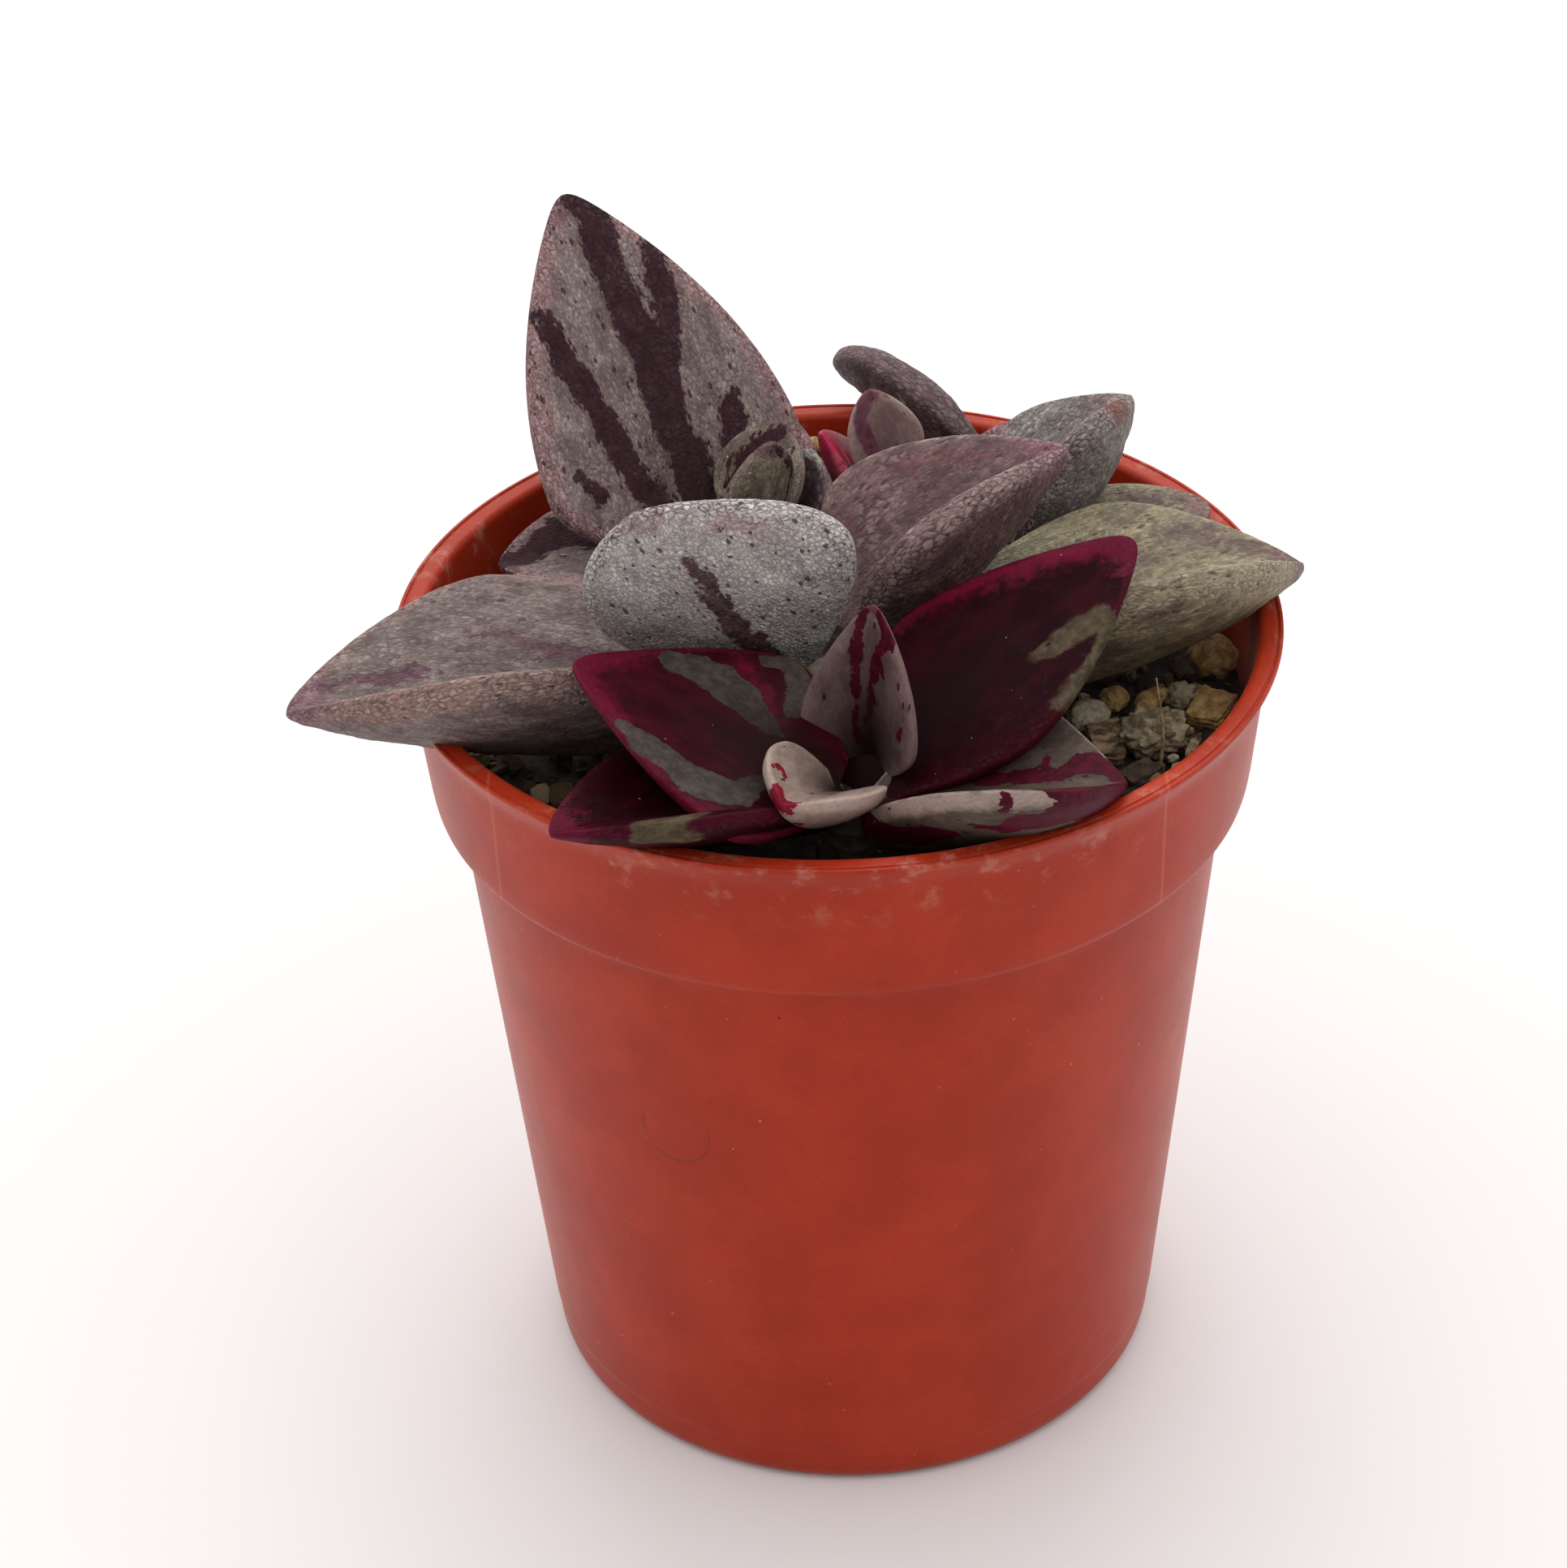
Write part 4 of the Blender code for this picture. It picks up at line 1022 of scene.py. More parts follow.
LEAVES = (
    Leaf(
        "leaf_front_centre_near", x=0.3, y=-17.9, level=52.2, heading=245, rise=25, length=10.0,
        half_width=4.4, thickness=2.4, fold=45, curl=9, swing=2, roll=-12,
        widest=0.45, neck=0.2, taper=2.4, tip=0.6, skin=YOUNG_CREAM, markings=YOUNG_NEAR_MARKINGS,
    ),
    Leaf(
        "leaf_front_centre_far", x=2.1, y=-15.2, level=52.3, heading=72, rise=89, length=11.3,
        half_width=4.6, thickness=1.7, fold=36, swing=7, roll=-17,
        widest=0.3, neck=0.21, taper=1.57, tip=0.5, skin=YOUNG_ROSE, markings=YOUNG_CENTRE_MARKINGS,
    ),
    Leaf(
        "leaf_front_left", x=-0.3, y=-18.8, level=53.1, heading=169, rise=22.6, length=17.1,
        half_width=8.0, thickness=2.2, fold=10, curl=9, swing=2, roll=-8,
        widest=0.31, neck=0.32, taper=1.4, skin=YOUNG_RED, markings=YOUNG_LEFT_MARKINGS,
    ),
    Leaf(
        "leaf_front_low_right", x=1.6, y=-19.7, level=51.2, heading=-11, rise=7, length=15.3,
        half_width=9.7, thickness=3.3, fold=46, curl=7, swing=22, roll=-9,
        widest=0.54, neck=0.29, taper=2.05, skin=YOUNG_GREY, markings=YOUNG_LOW_RIGHT_MARKINGS,
    ),
    Leaf(
        "leaf_front_right", x=0.9, y=-17.0, level=51.9, heading=33, rise=27.3, length=22.5,
        half_width=6.5, thickness=2.4, fold=11, curl=1, swing=-1.4, roll=10,
        widest=0.42, neck=0.25, taper=1.63, skin=YOUNG_RED_DARKENED_FOR_SHADE, markings=YOUNG_RIGHT_MARKINGS,
    ),
    Leaf(
        "leaf_front_low_left", x=-1.3, y=-18.6, level=51.0, heading=205, rise=20, length=17.4,
        half_width=6.8, thickness=2.5, fold=34, curl=-10, roll=9,
        widest=0.51, neck=0.29, taper=1.56, skin=YOUNG_RED_DARKENED_FOR_SHADE, markings=YOUNG_LOW_LEFT_MARKINGS,
    ),
    Leaf(
        "leaf_middle_left", x=-2.7, y=-5.5, level=53.7, heading=226, rise=53, length=19.7,
        half_width=8.4, thickness=3.4, fold=13, swing=-3, roll=45,
        widest=0.47, neck=0.24, taper=2.0, tip=1.0, skin=PALE_CRACKLED, markings=MIDDLE_LEFT_MARKINGS,
    ),
    Leaf(
        "leaf_middle_right", x=1.5, y=-3.2, level=53.5, heading=31, rise=39, length=17.4,
        half_width=9.9, thickness=4.3, fold=48, curl=-9, swing=-10, roll=-18,
        widest=0.39, neck=0.29, taper=1.8, skin=MAUVE, markings=MIDDLE_RIGHT_MARKINGS,
    ),
    Leaf(
        "leaf_middle_long_right", x=2.3, y=-6.2, level=50.1, heading=13, rise=13, length=28.4,
        half_width=10.0, thickness=4.4, fold=49, curl=-5, swing=8, roll=-13,
        widest=0.64, neck=0.24, taper=1.8, skin=GREY_GREEN, markings=LONG_RIGHT_MARKINGS,
    ),
    Leaf(
        "leaf_middle_long_left", x=-2.2, y=-6.9, level=50.2, heading=189, rise=12, length=31.5,
        half_width=10.4, thickness=4.6, fold=50, curl=-5, swing=2, roll=9,
        widest=0.59, neck=0.25, taper=1.56, tip=1.0, skin=LONG_GREY, markings=LONG_LEFT_MARKINGS,
    ),
    Leaf(
        "leaf_right_upper", x=11.9, y=7.4, level=53.5, heading=42, rise=35, length=12.4,
        half_width=6.5, thickness=3.5, fold=56, curl=3, swing=3, roll=-28,
        widest=0.54, neck=0.27, taper=1.86, skin=NET_GREY, markings=RIGHT_UPPER_MARKINGS,
    ),
    Leaf(
        "leaf_right_side", x=9.0, y=6.7, level=50.6, heading=16, rise=14, length=16.1,
        half_width=4.5, thickness=2.6, fold=19, roll=15, widest=0.52, taper=2.0,
        skin=GREY_GREEN, markings=RIGHT_SIDE_MARKINGS,
    ),
    Leaf(
        "leaf_right_inner", x=9.3, y=8.2, level=52.0, heading=122, rise=30, length=8.0,
        half_width=3.3, thickness=2.2, fold=18, tip=0.5, skin=NET_GREY,
    ),
    Leaf(
        "leaf_tall", x=-8.0, y=9.8, level=52.3, heading=123, rise=50, length=25.2,
        half_width=9.4, thickness=3.0, fold=5, curl=2, swing=2, roll=1,
        widest=0.26, neck=0.2, taper=1.84, markings=TALL_MARKINGS,
    ),
    Leaf(
        "leaf_rear_left_inner_near", x=-5.7, y=7.2, level=52.9, heading=-57, rise=66, length=11.2,
        half_width=2.7, thickness=1.7, fold=19, curl=14, roll=5,
        widest=0.51, neck=0.55, taper=2.25, stalk=2.0, tip=0.5,
        skin=INNER_GREY, markings=INNER_NEAR_MARKINGS,
    ),
    Leaf(
        "leaf_rear_left_inner_far", x=-5.7, y=9.0, level=53.2, heading=58, rise=60, length=8.6,
        half_width=3.4, thickness=1.9, fold=20, curl=-4, swing=-2, roll=-4,
        widest=0.47, neck=0.28, taper=2.4, stalk=0.9, tip=0.5,
        skin=INNER_GREY, markings=INNER_FAR_MARKINGS,
    ),
    Leaf(
        "leaf_rear_left_inner_right", x=-4.4, y=9.4, level=51.8, heading=38, rise=52, length=8.1,
        half_width=3.2, thickness=2.0, fold=15, curl=14, swing=10, roll=1,
        widest=0.53, taper=2.0, stalk=1.3, tip=0.5, skin=DARK_PLUM,
    ),
    Leaf(
        "leaf_rear_left_side", x=-8.5, y=9.5, level=51.0, heading=182, rise=11, length=13.2,
        half_width=5.8, thickness=2.6, fold=28, curl=-6, swing=3, roll=-4, widest=0.48,
        markings=LEFT_SIDE_MARKINGS,
    ),
    Leaf(
        "leaf_rear_left_low", x=-6.3, y=10.3, level=50.7, heading=75, rise=22, length=13.0,
        half_width=4.2, thickness=2.6, fold=20, curl=5,
    ),
    Leaf(
        "leaf_rear_centre", x=5.0, y=16.2, level=52.1, heading=163, rise=67, length=8.6,
        half_width=2.6, thickness=1.8, fold=17, curl=8, swing=-9, roll=-50,
        widest=0.48, stalk=1.4, tip=0.5, skin=YOUNG_MAUVE, markings=REAR_CENTRE_MARKINGS,
    ),
    Leaf(
        "leaf_rear_wide", x=9.9, y=19.6, level=53.3, heading=140, rise=39, length=14.1,
        half_width=2.6, thickness=3.0, fold=7, curl=-56, swing=-10, roll=60.5,
        widest=0.45, neck=0.4, taper=2.6, tip=0.9, skin=DARK_PLUM, markings=REAR_WIDE_MARKINGS,
    ),
    Leaf(
        "leaf_rear_near", x=4.3, y=16.4, level=50.4, heading=182, rise=42, length=9.3,
        half_width=4.4, thickness=1.8, fold=7, curl=29, swing=31, roll=-13.5, tip=0.6,
        skin=YOUNG_CRIMSON, markings=REAR_NEAR_MARKINGS,
    ),
    Leaf(
        "leaf_rear_low_right", x=8.2, y=16.5, level=51.5, heading=-30, rise=28, length=7.8,
        half_width=2.8, thickness=2.0, fold=18, curl=5, tip=0.5, skin=MAUVE,
    ),
    Leaf(
        "leaf_rear_low_far", x=8.4, y=18.1, level=50.9, heading=42, rise=29, length=7.6,
        half_width=2.5, thickness=2.0, fold=17, curl=5, roll=-6, tip=0.5, skin=MAUVE,
    ),
)


@dataclass
class LeafMaker:
    """Makes one leaf as a smooth closed blade with its markings kept in the mesh.

    Its constants shape every section: how its thickness is shared out, how round its margins and faces
    are, how it thins and unfolds towards the tip, and where round the margin a marking of one face ends.

    Attributes:
        leaf: What is made.
        rings: Rings of points from base to tip.
        sides: Points round each ring.
        cap: Share of the rings that close the base.
    """

    UPPER_SHARE = 0.38
    LOWER_SHARE = 0.62
    MARGIN_POWER = 0.85
    FACE_POWER = 0.62
    TIP_POWER = 1.15
    TIP_THINNING = 0.2
    UNFOLDING = 0.35
    FOLD_ROUNDING = 0.2
    FAR_OUTSIDE = -9.0
    MIDRIB_STEPS = 400
    CROWDING = 1.4
    SWELLING_POWER = 0.75
    ROUNDEST = 1.8
    UPPER_ENDS = -0.2
    LOWER_ENDS = 0.75
    FACE_FADE = 6.0

    leaf: Leaf
    rings: int = 120
    sides: int = 72
    cap: float = 0.03

    def blade_share(self, share: np.ndarray) -> np.ndarray:
        """Share of the blade's length that a share of the whole length reaches."""
        leaf = self.leaf
        return np.maximum(share * leaf.length - leaf.stalk, 0.0) / (leaf.length - leaf.stalk)

    def outline(self, blade: np.ndarray) -> np.ndarray:
        """Half width in millimetres at a share of the blade's length.

        Args:
            blade: Share of the blade's length of each point.

        Returns:
            The half widths.
        """
        leaf = self.leaf
        opening = leaf.neck + (1 - leaf.neck) * np.sin(math.pi / 2 * np.minimum(blade / leaf.widest, 1.0))
        past = np.clip((blade - leaf.widest) / (1 - leaf.widest), 0.0, 1.0)
        closing = np.maximum(1 - past**leaf.taper, 0.0) ** (1 / self.TIP_POWER)
        pointed = leaf.half_width * np.where(blade < leaf.widest, opening, closing)
        left = (1 - blade) * (leaf.length - leaf.stalk)
        return np.sqrt(pointed**2 + 2 * leaf.tip * left * np.exp(-left / (2 * leaf.tip)))

    def direction(self, share: np.ndarray) -> np.ndarray:
        """Direction of the midrib at a share of the length.

        Args:
            share: Share of the length of each point.

        Returns:
            An array of vectors.
        """
        slope = np.radians(self.leaf.rise + self.leaf.curl * share)
        heading = np.radians(self.leaf.heading + self.leaf.swing * share)
        level = np.cos(slope)
        return np.stack([level * np.cos(heading), level * np.sin(heading), np.sin(slope)], axis=1)

    def frames(self, share: np.ndarray) -> tuple[np.ndarray, ...]:
        """Midrib point, direction across the blade and direction out of its upper face.

        Args:
            share: Share of the length of each point.

        Returns:
            Three arrays of vectors.
        """
        leaf = self.leaf
        fine = np.linspace(0.0, 1.0, self.MIDRIB_STEPS + 1)
        along = self.direction(fine)
        steps = (along[1:] + along[:-1]) / 2 * (leaf.length / self.MIDRIB_STEPS)
        path = np.vstack([np.zeros(3), np.cumsum(steps, axis=0)]) + np.array([leaf.x, leaf.y, leaf.level])
        centre = np.stack([np.interp(share, fine, path[:, axis]) for axis in range(3)], axis=1)
        ahead = self.direction(share)
        heading = np.radians(leaf.heading + leaf.swing * share)
        level = np.stack([-np.sin(heading), np.cos(heading), np.zeros_like(heading)], axis=1)
        lifted = np.cross(ahead, level)
        roll = math.radians(leaf.roll)
        across = math.cos(roll) * level + math.sin(roll) * lifted
        up = -math.sin(roll) * level + math.cos(roll) * lifted
        return centre, across, up

    def relief(self, points: np.ndarray) -> np.ndarray:
        """Height of the leaf's gentle unevenness at each point, in millimetres.

        Args:
            points: The points, in millimetres.

        Returns:
            The heights.
        """
        young = self.leaf.skin.slot == "young_leaf"
        reach, finest = (0.06, 0.0) if young else (0.12, 0.35)
        shift = Vector((self.leaf.x, self.leaf.heading, self.leaf.y))
        heights = []
        for point in points:
            place = Vector(point) * 0.38 + shift
            wave = noise.noise(place) + 0.5 * noise.noise(place * 2.7) + finest * noise.noise(place * 6.5)
            heights.append(reach * wave)
        return np.array(heights)

    def distance_inside(self, marking: Marking, place: np.ndarray, side: np.ndarray) -> np.ndarray:
        """How far each point lies inside a marking, in millimetres, negative outside.

        Args:
            marking: The marking.
            place: Distance along and across the leaf of each point, in millimetres.
            side: Which face each point is on, from -1 below to 1 above.

        Returns:
            The distances.
        """
        shares = np.array([point[0] for point in marking.points])
        widths = self.outline(np.clip(shares, 0.0, 0.99))
        span = self.leaf.length - self.leaf.stalk
        line = np.stack([shares * span, [point[1] for point in marking.points] * widths], axis=1)
        reach = [point[2] for point in marking.points]
        best = np.full(len(place), self.FAR_OUTSIDE)
        for start, end, near, far in zip(line, line[1:], reach, reach[1:]):
            step = end - start
            part = np.clip((place - start) @ step / max(float(step @ step), 1e-9), 0.0, 1.0)
            gap = np.linalg.norm(place - start - part[:, None] * step, axis=1)
            best = np.maximum(best, near * (1 - part) + far * part - gap)
        if marking.face is Face.UPPER:
            past = self.UPPER_ENDS - side
        elif marking.face is Face.LOWER:
            past = side - self.LOWER_ENDS
        else:
            return best
        return np.where(past > 0, np.minimum(best, -self.FACE_FADE * past), best)

    def painted(self, paint: Paint, place: np.ndarray, side: np.ndarray) -> np.ndarray:
        """How far each point lies inside the markings of one kind, in millimetres.

        Args:
            paint: The kind of marking.
            place: Distance along and across the leaf of each point, in millimetres.
            side: Which face each point is on, from -1 below to 1 above.

        Returns:
            The distances.
        """
        best = np.full(len(place), self.FAR_OUTSIDE)
        for marking in self.leaf.markings:
            if marking.paint is paint:
                best = np.maximum(best, self.distance_inside(marking, place, side))
        return best

    def build(self, look: Look) -> Thing:
        """Makes the leaf.

        Args:
            look: Its material.

        Returns:
            Its object.
        """
        leaf = self.leaf
        deselect_all()
        bpy.ops.mesh.primitive_uv_sphere_add(segments=self.sides, ring_count=self.rings, radius=1.0)
        obj = bpy.context.object
        mesh = obj.data
        ball = np.empty(len(mesh.vertices) * 3)
        mesh.vertices.foreach_get("co", ball)
        ball = ball.reshape(-1, 3)
        reach = np.arccos(np.clip(-ball[:, 2], -1.0, 1.0)) / math.pi
        turn = np.arctan2(ball[:, 1], ball[:, 0])
        closing = np.sin(np.clip(reach / self.cap, 0.0, 1.0) * math.pi / 2)
        share = 1 - (1 - np.clip((reach - self.cap) / (1 - self.cap), 0.0, 1.0)) ** self.CROWDING
        blade = self.blade_share(share)
        width = self.outline(blade)
        swell = np.minimum(1.0, (width / leaf.half_width) ** self.SWELLING_POWER)
        thickness = leaf.thickness * swell * (1 - self.TIP_THINNING * blade)
        thickness = np.minimum(thickness, self.ROUNDEST * width) * closing
        width = width * closing
        fold = np.radians(leaf.fold) * (1 - self.UNFOLDING * blade)
        side = np.sign(np.cos(turn)) * np.abs(np.cos(turn)) ** self.MARGIN_POWER
        full = np.sign(np.sin(turn)) * np.abs(np.sin(turn)) ** self.FACE_POWER
        lift = np.sqrt(side**2 + self.FOLD_ROUNDING**2) - self.FOLD_ROUNDING
        part = np.where(full > 0, self.UPPER_SHARE, self.LOWER_SHARE) * full * thickness
        centre, across, up = self.frames(share)
        points = centre + across * (width * side * np.cos(fold))[:, None]
        points += up * (width * lift * np.sin(fold) + part)[:, None]
        points += up * (self.relief(points) * closing * full)[:, None]
        mesh.vertices.foreach_set("co", (points * MM).ravel())
        self.keep_places(mesh, blade, width * side, part, full, width)
        mesh.update()
        turn_outward(obj)
        smooth_shade(obj, 80.0)
        finish_piece(obj, leaf.node.replace("leaf_", "blade_"), look)
        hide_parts(leaf.node)
        return obj

    def keep_places(
        self, mesh: Mesh, blade: np.ndarray, sideways: np.ndarray, part: np.ndarray,
        full: np.ndarray, width: np.ndarray,
    ) -> None:
        """Keeps in the mesh what the finish reads: places on the leaf and distances from its markings.

        Args:
            mesh: The leaf's mesh.
            blade: Share of the blade's length of each point.
            sideways: Distance from the midrib, in millimetres.
            part: Height above the middle of the blade, in millimetres.
            full: Which face each point is on, from -1 below to 1 above.
            width: Half width there, in millimetres.
        """
        leaf = self.leaf
        along = blade * (leaf.length - leaf.stalk)
        flat = np.stack([along, sideways], axis=1)
        keep(mesh, "leaf_place", np.stack([along, sideways, 1.5 * part + leaf.heading], axis=1))
        for paint in Paint:
            keep(mesh, paint.value, self.painted(paint, flat, full))
        keep(mesh, "margin", width - np.abs(sideways) + 0.5 * np.abs(part))
        keep(mesh, "tip", (1 - blade) * (leaf.length - leaf.stalk))
        # How deep in the channel each point lies, for the painted shade that darkens the channel towards the
        # base.
        inward = 1 - np.abs(sideways) / width.clip(0.01)
        keep(mesh, "hollow_shade", (1 - blade) * inward * full.clip(0.0, 1.0))


@dataclass
class Plant:
    """The five stems and all their leaves.

    Attributes:
        effects: The shared node groups.
        stems: Node, place to the right and to the rear, top and radius of each stem.
    """

    effects: Effects
    stems: tuple[tuple[str, float, float, float, float], ...] = (
        ("stem_middle", -0.2, -4.9, 53.0, 2.0),
        ("stem_rear_left", -6.4, 8.8, 53.2, 1.5),
        ("stem_right", 10.2, 6.6, 52.4, 1.4),
        ("stem_rear", 6.3, 17.5, 52.0, 1.4),
        ("stem_front", 0.7, -17.2, 52.2, 1.8),
    )

    def build(self) -> list[Thing]:
        """Makes the stems and the leaves.

        Returns:
            The leaves.
        """
        bark = self.stem_look()
        for node, x, y, top, radius in self.stems:
            self.stem(node, x, y, top, radius, bark)
        skins = {leaf.skin.name: leaf.skin for leaf in LEAVES}
        looks = {name: skin.dress(self.effects) for name, skin in skins.items()}
        return [LeafMaker(leaf).build(looks[leaf.skin.name]) for leaf in LEAVES]

    def stem(self, node: str, x: float, y: float, top: float, radius: float, look: Look) -> None:
        """Makes a stem with the low rings that fallen leaves leave.

        Args:
            node: The part's node.
            x: Place to the right, in millimetres.
            y: Place to the rear, in millimetres.
            top: Height of its tip, in millimetres.
            radius: Its radius, in millimetres.
            look: Its material.
        """
        foot = SOIL_LEVEL - STEM_DEPTH
        corners = [(radius * 0.5, foot, 0.0), (radius - 0.05, foot, 0.2)]
        level = foot + 1.0
        while level < top - 1.2:
            for inset, rise in ((0.1, 0.0), (0.0, 0.25), (0.1, 0.5)):
                corners.append((radius - inset, level + rise, 0.15))
            level += 1.1
        corners += [(radius - 0.05, top, 0.7), (radius * 0.2, top, 0.0)]
        obj = extruded_rings(32, rounded_path(corners, 3))
        for vertex in obj.data.vertices:
            shake = noise.noise(vertex.co * 900 + Vector((x, y, 0)))
            vertex.co.x *= 1 - 0.04 * abs(shake)
            vertex.co.y *= 1 - 0.04 * abs(shake)
        obj.location = (x * MM, y * MM, 0)
        settle(obj)
        smooth_shade(obj, 60.0)
        finish_piece(obj, node.replace("stem_", "stalk_"), look)
        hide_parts(node)

    def stem_look(self) -> Look:
        """A brown stem with dry skin.

        Returns:
            The material.
        """
        made, graph, shader = new_material("dry_stem", Roughness=0.75)
        place = graph.place()
        blotches = graph.patches(0.35, 0.65, place, 0.8, 4.0, 0.6)
        colour = graph.mix(blotches, (0.03, 0.017, 0.012), (0.075, 0.055, 0.032))
        fibres = graph.noise(graph.stretch(place, (1.0, 1.0, 0.2)), 0.15, 3.0)
        add_surface(graph, shader, graph.vary(colour, fibres, 0.6, 1.4), fibres, 0.06)
        return made


# Pot


@dataclass
class Pot:
    """The thin moulded plastic pot.

    Attributes:
        effects: The shared node groups.
        sides: Sides of its turned wall.
        drain_count: Number of drain holes.
        drain_radius: Their radius, in millimetres.
        drain_ring: Radius of the ring that they lie on, in millimetres.
        seams: Places of the mould's seams on the collar, in millimetres to the right.
        arc_place: Place to the right and height of the curved hairline's centre, in millimetres.
    """

    effects: Effects
    sides: int = 192
    drain_count: int = 6
    drain_radius: float = 2.0
    drain_ring: float = 12.5
    seams: tuple[float, ...] = (-20.6, 18.9)
    arc_place: tuple[float, float] = (-10.6, 29.6)

    def build(self) -> None:
        """Makes the pot."""
        obj = extruded_rings(self.sides, self.profile())
        self.cut_drains(obj)
        smooth_shade(obj, 35.0)
        finish_piece(obj, "pot_shell", self.look())
        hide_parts("pot")

    def profile(self) -> list[tuple[float, float]]:
        """The wall's section, from the underside up its outer side and down its inner side.

        Returns:
            The radius and height of each point.
        """
        step = POT_HEIGHT - COLLAR_DEPTH
        flare_foot = POT_HEIGHT - LIP_FLARE
        middle_radius, middle_drop = LIP_FLARE_MIDDLE
        slope = (BODY_TOP_RADIUS - FOOT_RADIUS) / (step - 1.0 - FOOT_ROUND)
        corners = [
            (10.0, 0.0, 0.0),
            (FOOT_RADIUS - 0.15, 0.0, FOOT_ROUND),
            (FOOT_RADIUS + 0.12, 2.6, 0.3),
            (FOOT_RADIUS + 0.02 + 2.0 * slope, 3.0, 0.3),
            (BODY_TOP_RADIUS, step - 1.0, 0.6),
            (BODY_TOP_RADIUS + 0.35, step - 0.15, 0.5),
            (COLLAR_FOOT_RADIUS - 0.1, step + 0.1, 0.5),
            (COLLAR_FOOT_RADIUS + 0.1, step + 1.2, 0.6),
            (COLLAR_TOP_RADIUS, flare_foot, 0.9),
            (middle_radius, POT_HEIGHT - middle_drop, 0.5),
            (LIP_RADIUS, POT_HEIGHT - 0.3, 0.15),
            (LIP_RADIUS, POT_HEIGHT, 0.12),
            (GROOVE_RADIUS + 0.1, POT_HEIGHT, 0.05),
            (GROOVE_RADIUS + 0.06, POT_HEIGHT - GROOVE_DEPTH, 0.03),
            (GROOVE_RADIUS - 0.06, POT_HEIGHT - GROOVE_DEPTH, 0.03),
            (GROOVE_RADIUS - 0.1, POT_HEIGHT - 0.02, 0.05),
            (LIP_INNER_RADIUS + 0.25, POT_HEIGHT - 0.02, 0.25),
            (LIP_INNER_RADIUS - 0.05, POT_HEIGHT - 0.3, 0.3),
            (LIP_INNER_RADIUS - 0.25, flare_foot, 0.4),
            (COLLAR_FOOT_RADIUS - WALL, step + 0.4, 0.5),
            (BODY_TOP_RADIUS - WALL, step - 0.6, 0.5),
            (FOOT_RADIUS - WALL, FLOOR + 0.6, 0.8),
            (FOOT_RADIUS - WALL - 0.8, FLOOR, 0.0),
            (3.0, FLOOR, 0.0),
        ]
        return rounded_path(corners, 5)

    def cut_drains(self, obj: Thing) -> None:
        """Cuts the ring of drain holes through the floor.

        Args:
            obj: The pot.
        """
        drains = []
        for count in range(self.drain_count):
            turn = 2 * math.pi * (count + 0.5) / self.drain_count
            x, y = self.drain_ring * math.cos(turn), self.drain_ring * math.sin(turn)
            deselect_all()
            bpy.ops.mesh.primitive_cylinder_add(
                vertices=32, radius=self.drain_radius * MM, depth=4 * MM, location=(x * MM, y * MM, 0.5 * MM)
            )
            drains.append(bpy.context.object)
        cutter = join(drains)
        cut = obj.modifiers.new("drains", "BOOLEAN")
        cut.object = cutter
        cut.operation = "DIFFERENCE"
        cut.solver = "EXACT"
        apply_modifiers(obj)
        bpy.data.objects.remove(cutter, do_unlink=True)

    def look(self) -> Look:
        """Satin terracotta-coloured plastic with dust near the lip, hairlines and specks.

        Returns:
            The material.
        """
        made, graph, shader = new_material(
            "satin_terracotta_plastic", Specular_IOR_Level=0.18, Sheen_Weight=0.1, Sheen_Roughness=0.28,
            Sheen_Tint=(1.0, 0.85, 0.8),
        )
        place = graph.place()
        right, back, up = graph.add("SeparateXYZ", {0: place}).outputs
        mottle = graph.patches(0.35, 0.68, place, 7.0, 5.0, 0.6)
        colour = graph.mix(mottle, (0.33, 0.022, 0.005), (0.395, 0.030, 0.008))
        colour = graph.vary(colour, graph.noise(place, 0.35, 3.0, 0.6), 0.86, 1.14)
        flat = graph.stretch(place, (1.0, 1.0, 0.8))
        pale = graph.use(self.effects.flecks, Place=place, Spacing=0.9, Size=0.12, Amount=0.16)["Mask"]
        dark = graph.use(self.effects.flecks, Place=flat, Spacing=4.5, Size=0.045, Amount=0.3)["Mask"]
        near_lip = graph.smooth(up, POT_HEIGHT - 6.5, POT_HEIGHT - 0.6)
        dusty = graph.patches(0.52, 0.72, place, 2.2, 6.0, 0.7)
        streaks = graph.patches(0.55, 0.75, graph.stretch(place, (1.0, 1.0, 4.0)), 0.9, 4.0, 0.7)
        dust = graph.total(graph.product(dusty, 0.35), graph.product(dusty, streaks, 0.5))
        front = graph.math("LESS_THAN", back, 0.0)
        on_collar = graph.math("GREATER_THAN", up, POT_HEIGHT - COLLAR_DEPTH)
        layers = [
            ((pale, 0.5), (0.62, 0.25, 0.16)),
            ((dark, 0.8), (0.05, 0.012, 0.008)),
            ((near_lip, dust), (0.58, 0.36, 0.27)),
        ]
        for seam in self.seams:
            off = graph.math("ABSOLUTE", graph.math("SUBTRACT", right, seam))
            layers.append(((graph.fade(off, 0.0, 0.16), front, on_collar, 0.3), (0.62, 0.16, 0.09)))
        across, level = self.arc_place
        arc = graph.use(
            self.effects.arc_mark, Across=graph.math("SUBTRACT", right, across),
            Up=graph.math("SUBTRACT", up, level), Width=2.0, Height=2.4, Highest=0.9, Thickness=0.09,
        )["Mask"]
        layers.append(((arc, front, graph.patches(0.35, 0.5, place, 0.9, 2.0), 0.7), (0.10, 0.02, 0.012)))
        for factors, layer in layers:
            colour = graph.mix(graph.product(*factors), colour, layer)
        rough = graph.remap(graph.noise(place, 3.0, 4.0), 0.34, 0.46)
        rough = graph.math("ADD", rough, graph.product(near_lip, dust, 0.5), clamp=True)
        graph.plug(shader.inputs["Roughness"], rough)
        height = graph.total(graph.noise(place, 0.5, 3.0), graph.product(graph.noise(place, 3.5, 2.0), 1.5))
        add_surface(graph, shader, colour, height, 0.012)
        return made


# Potting mix


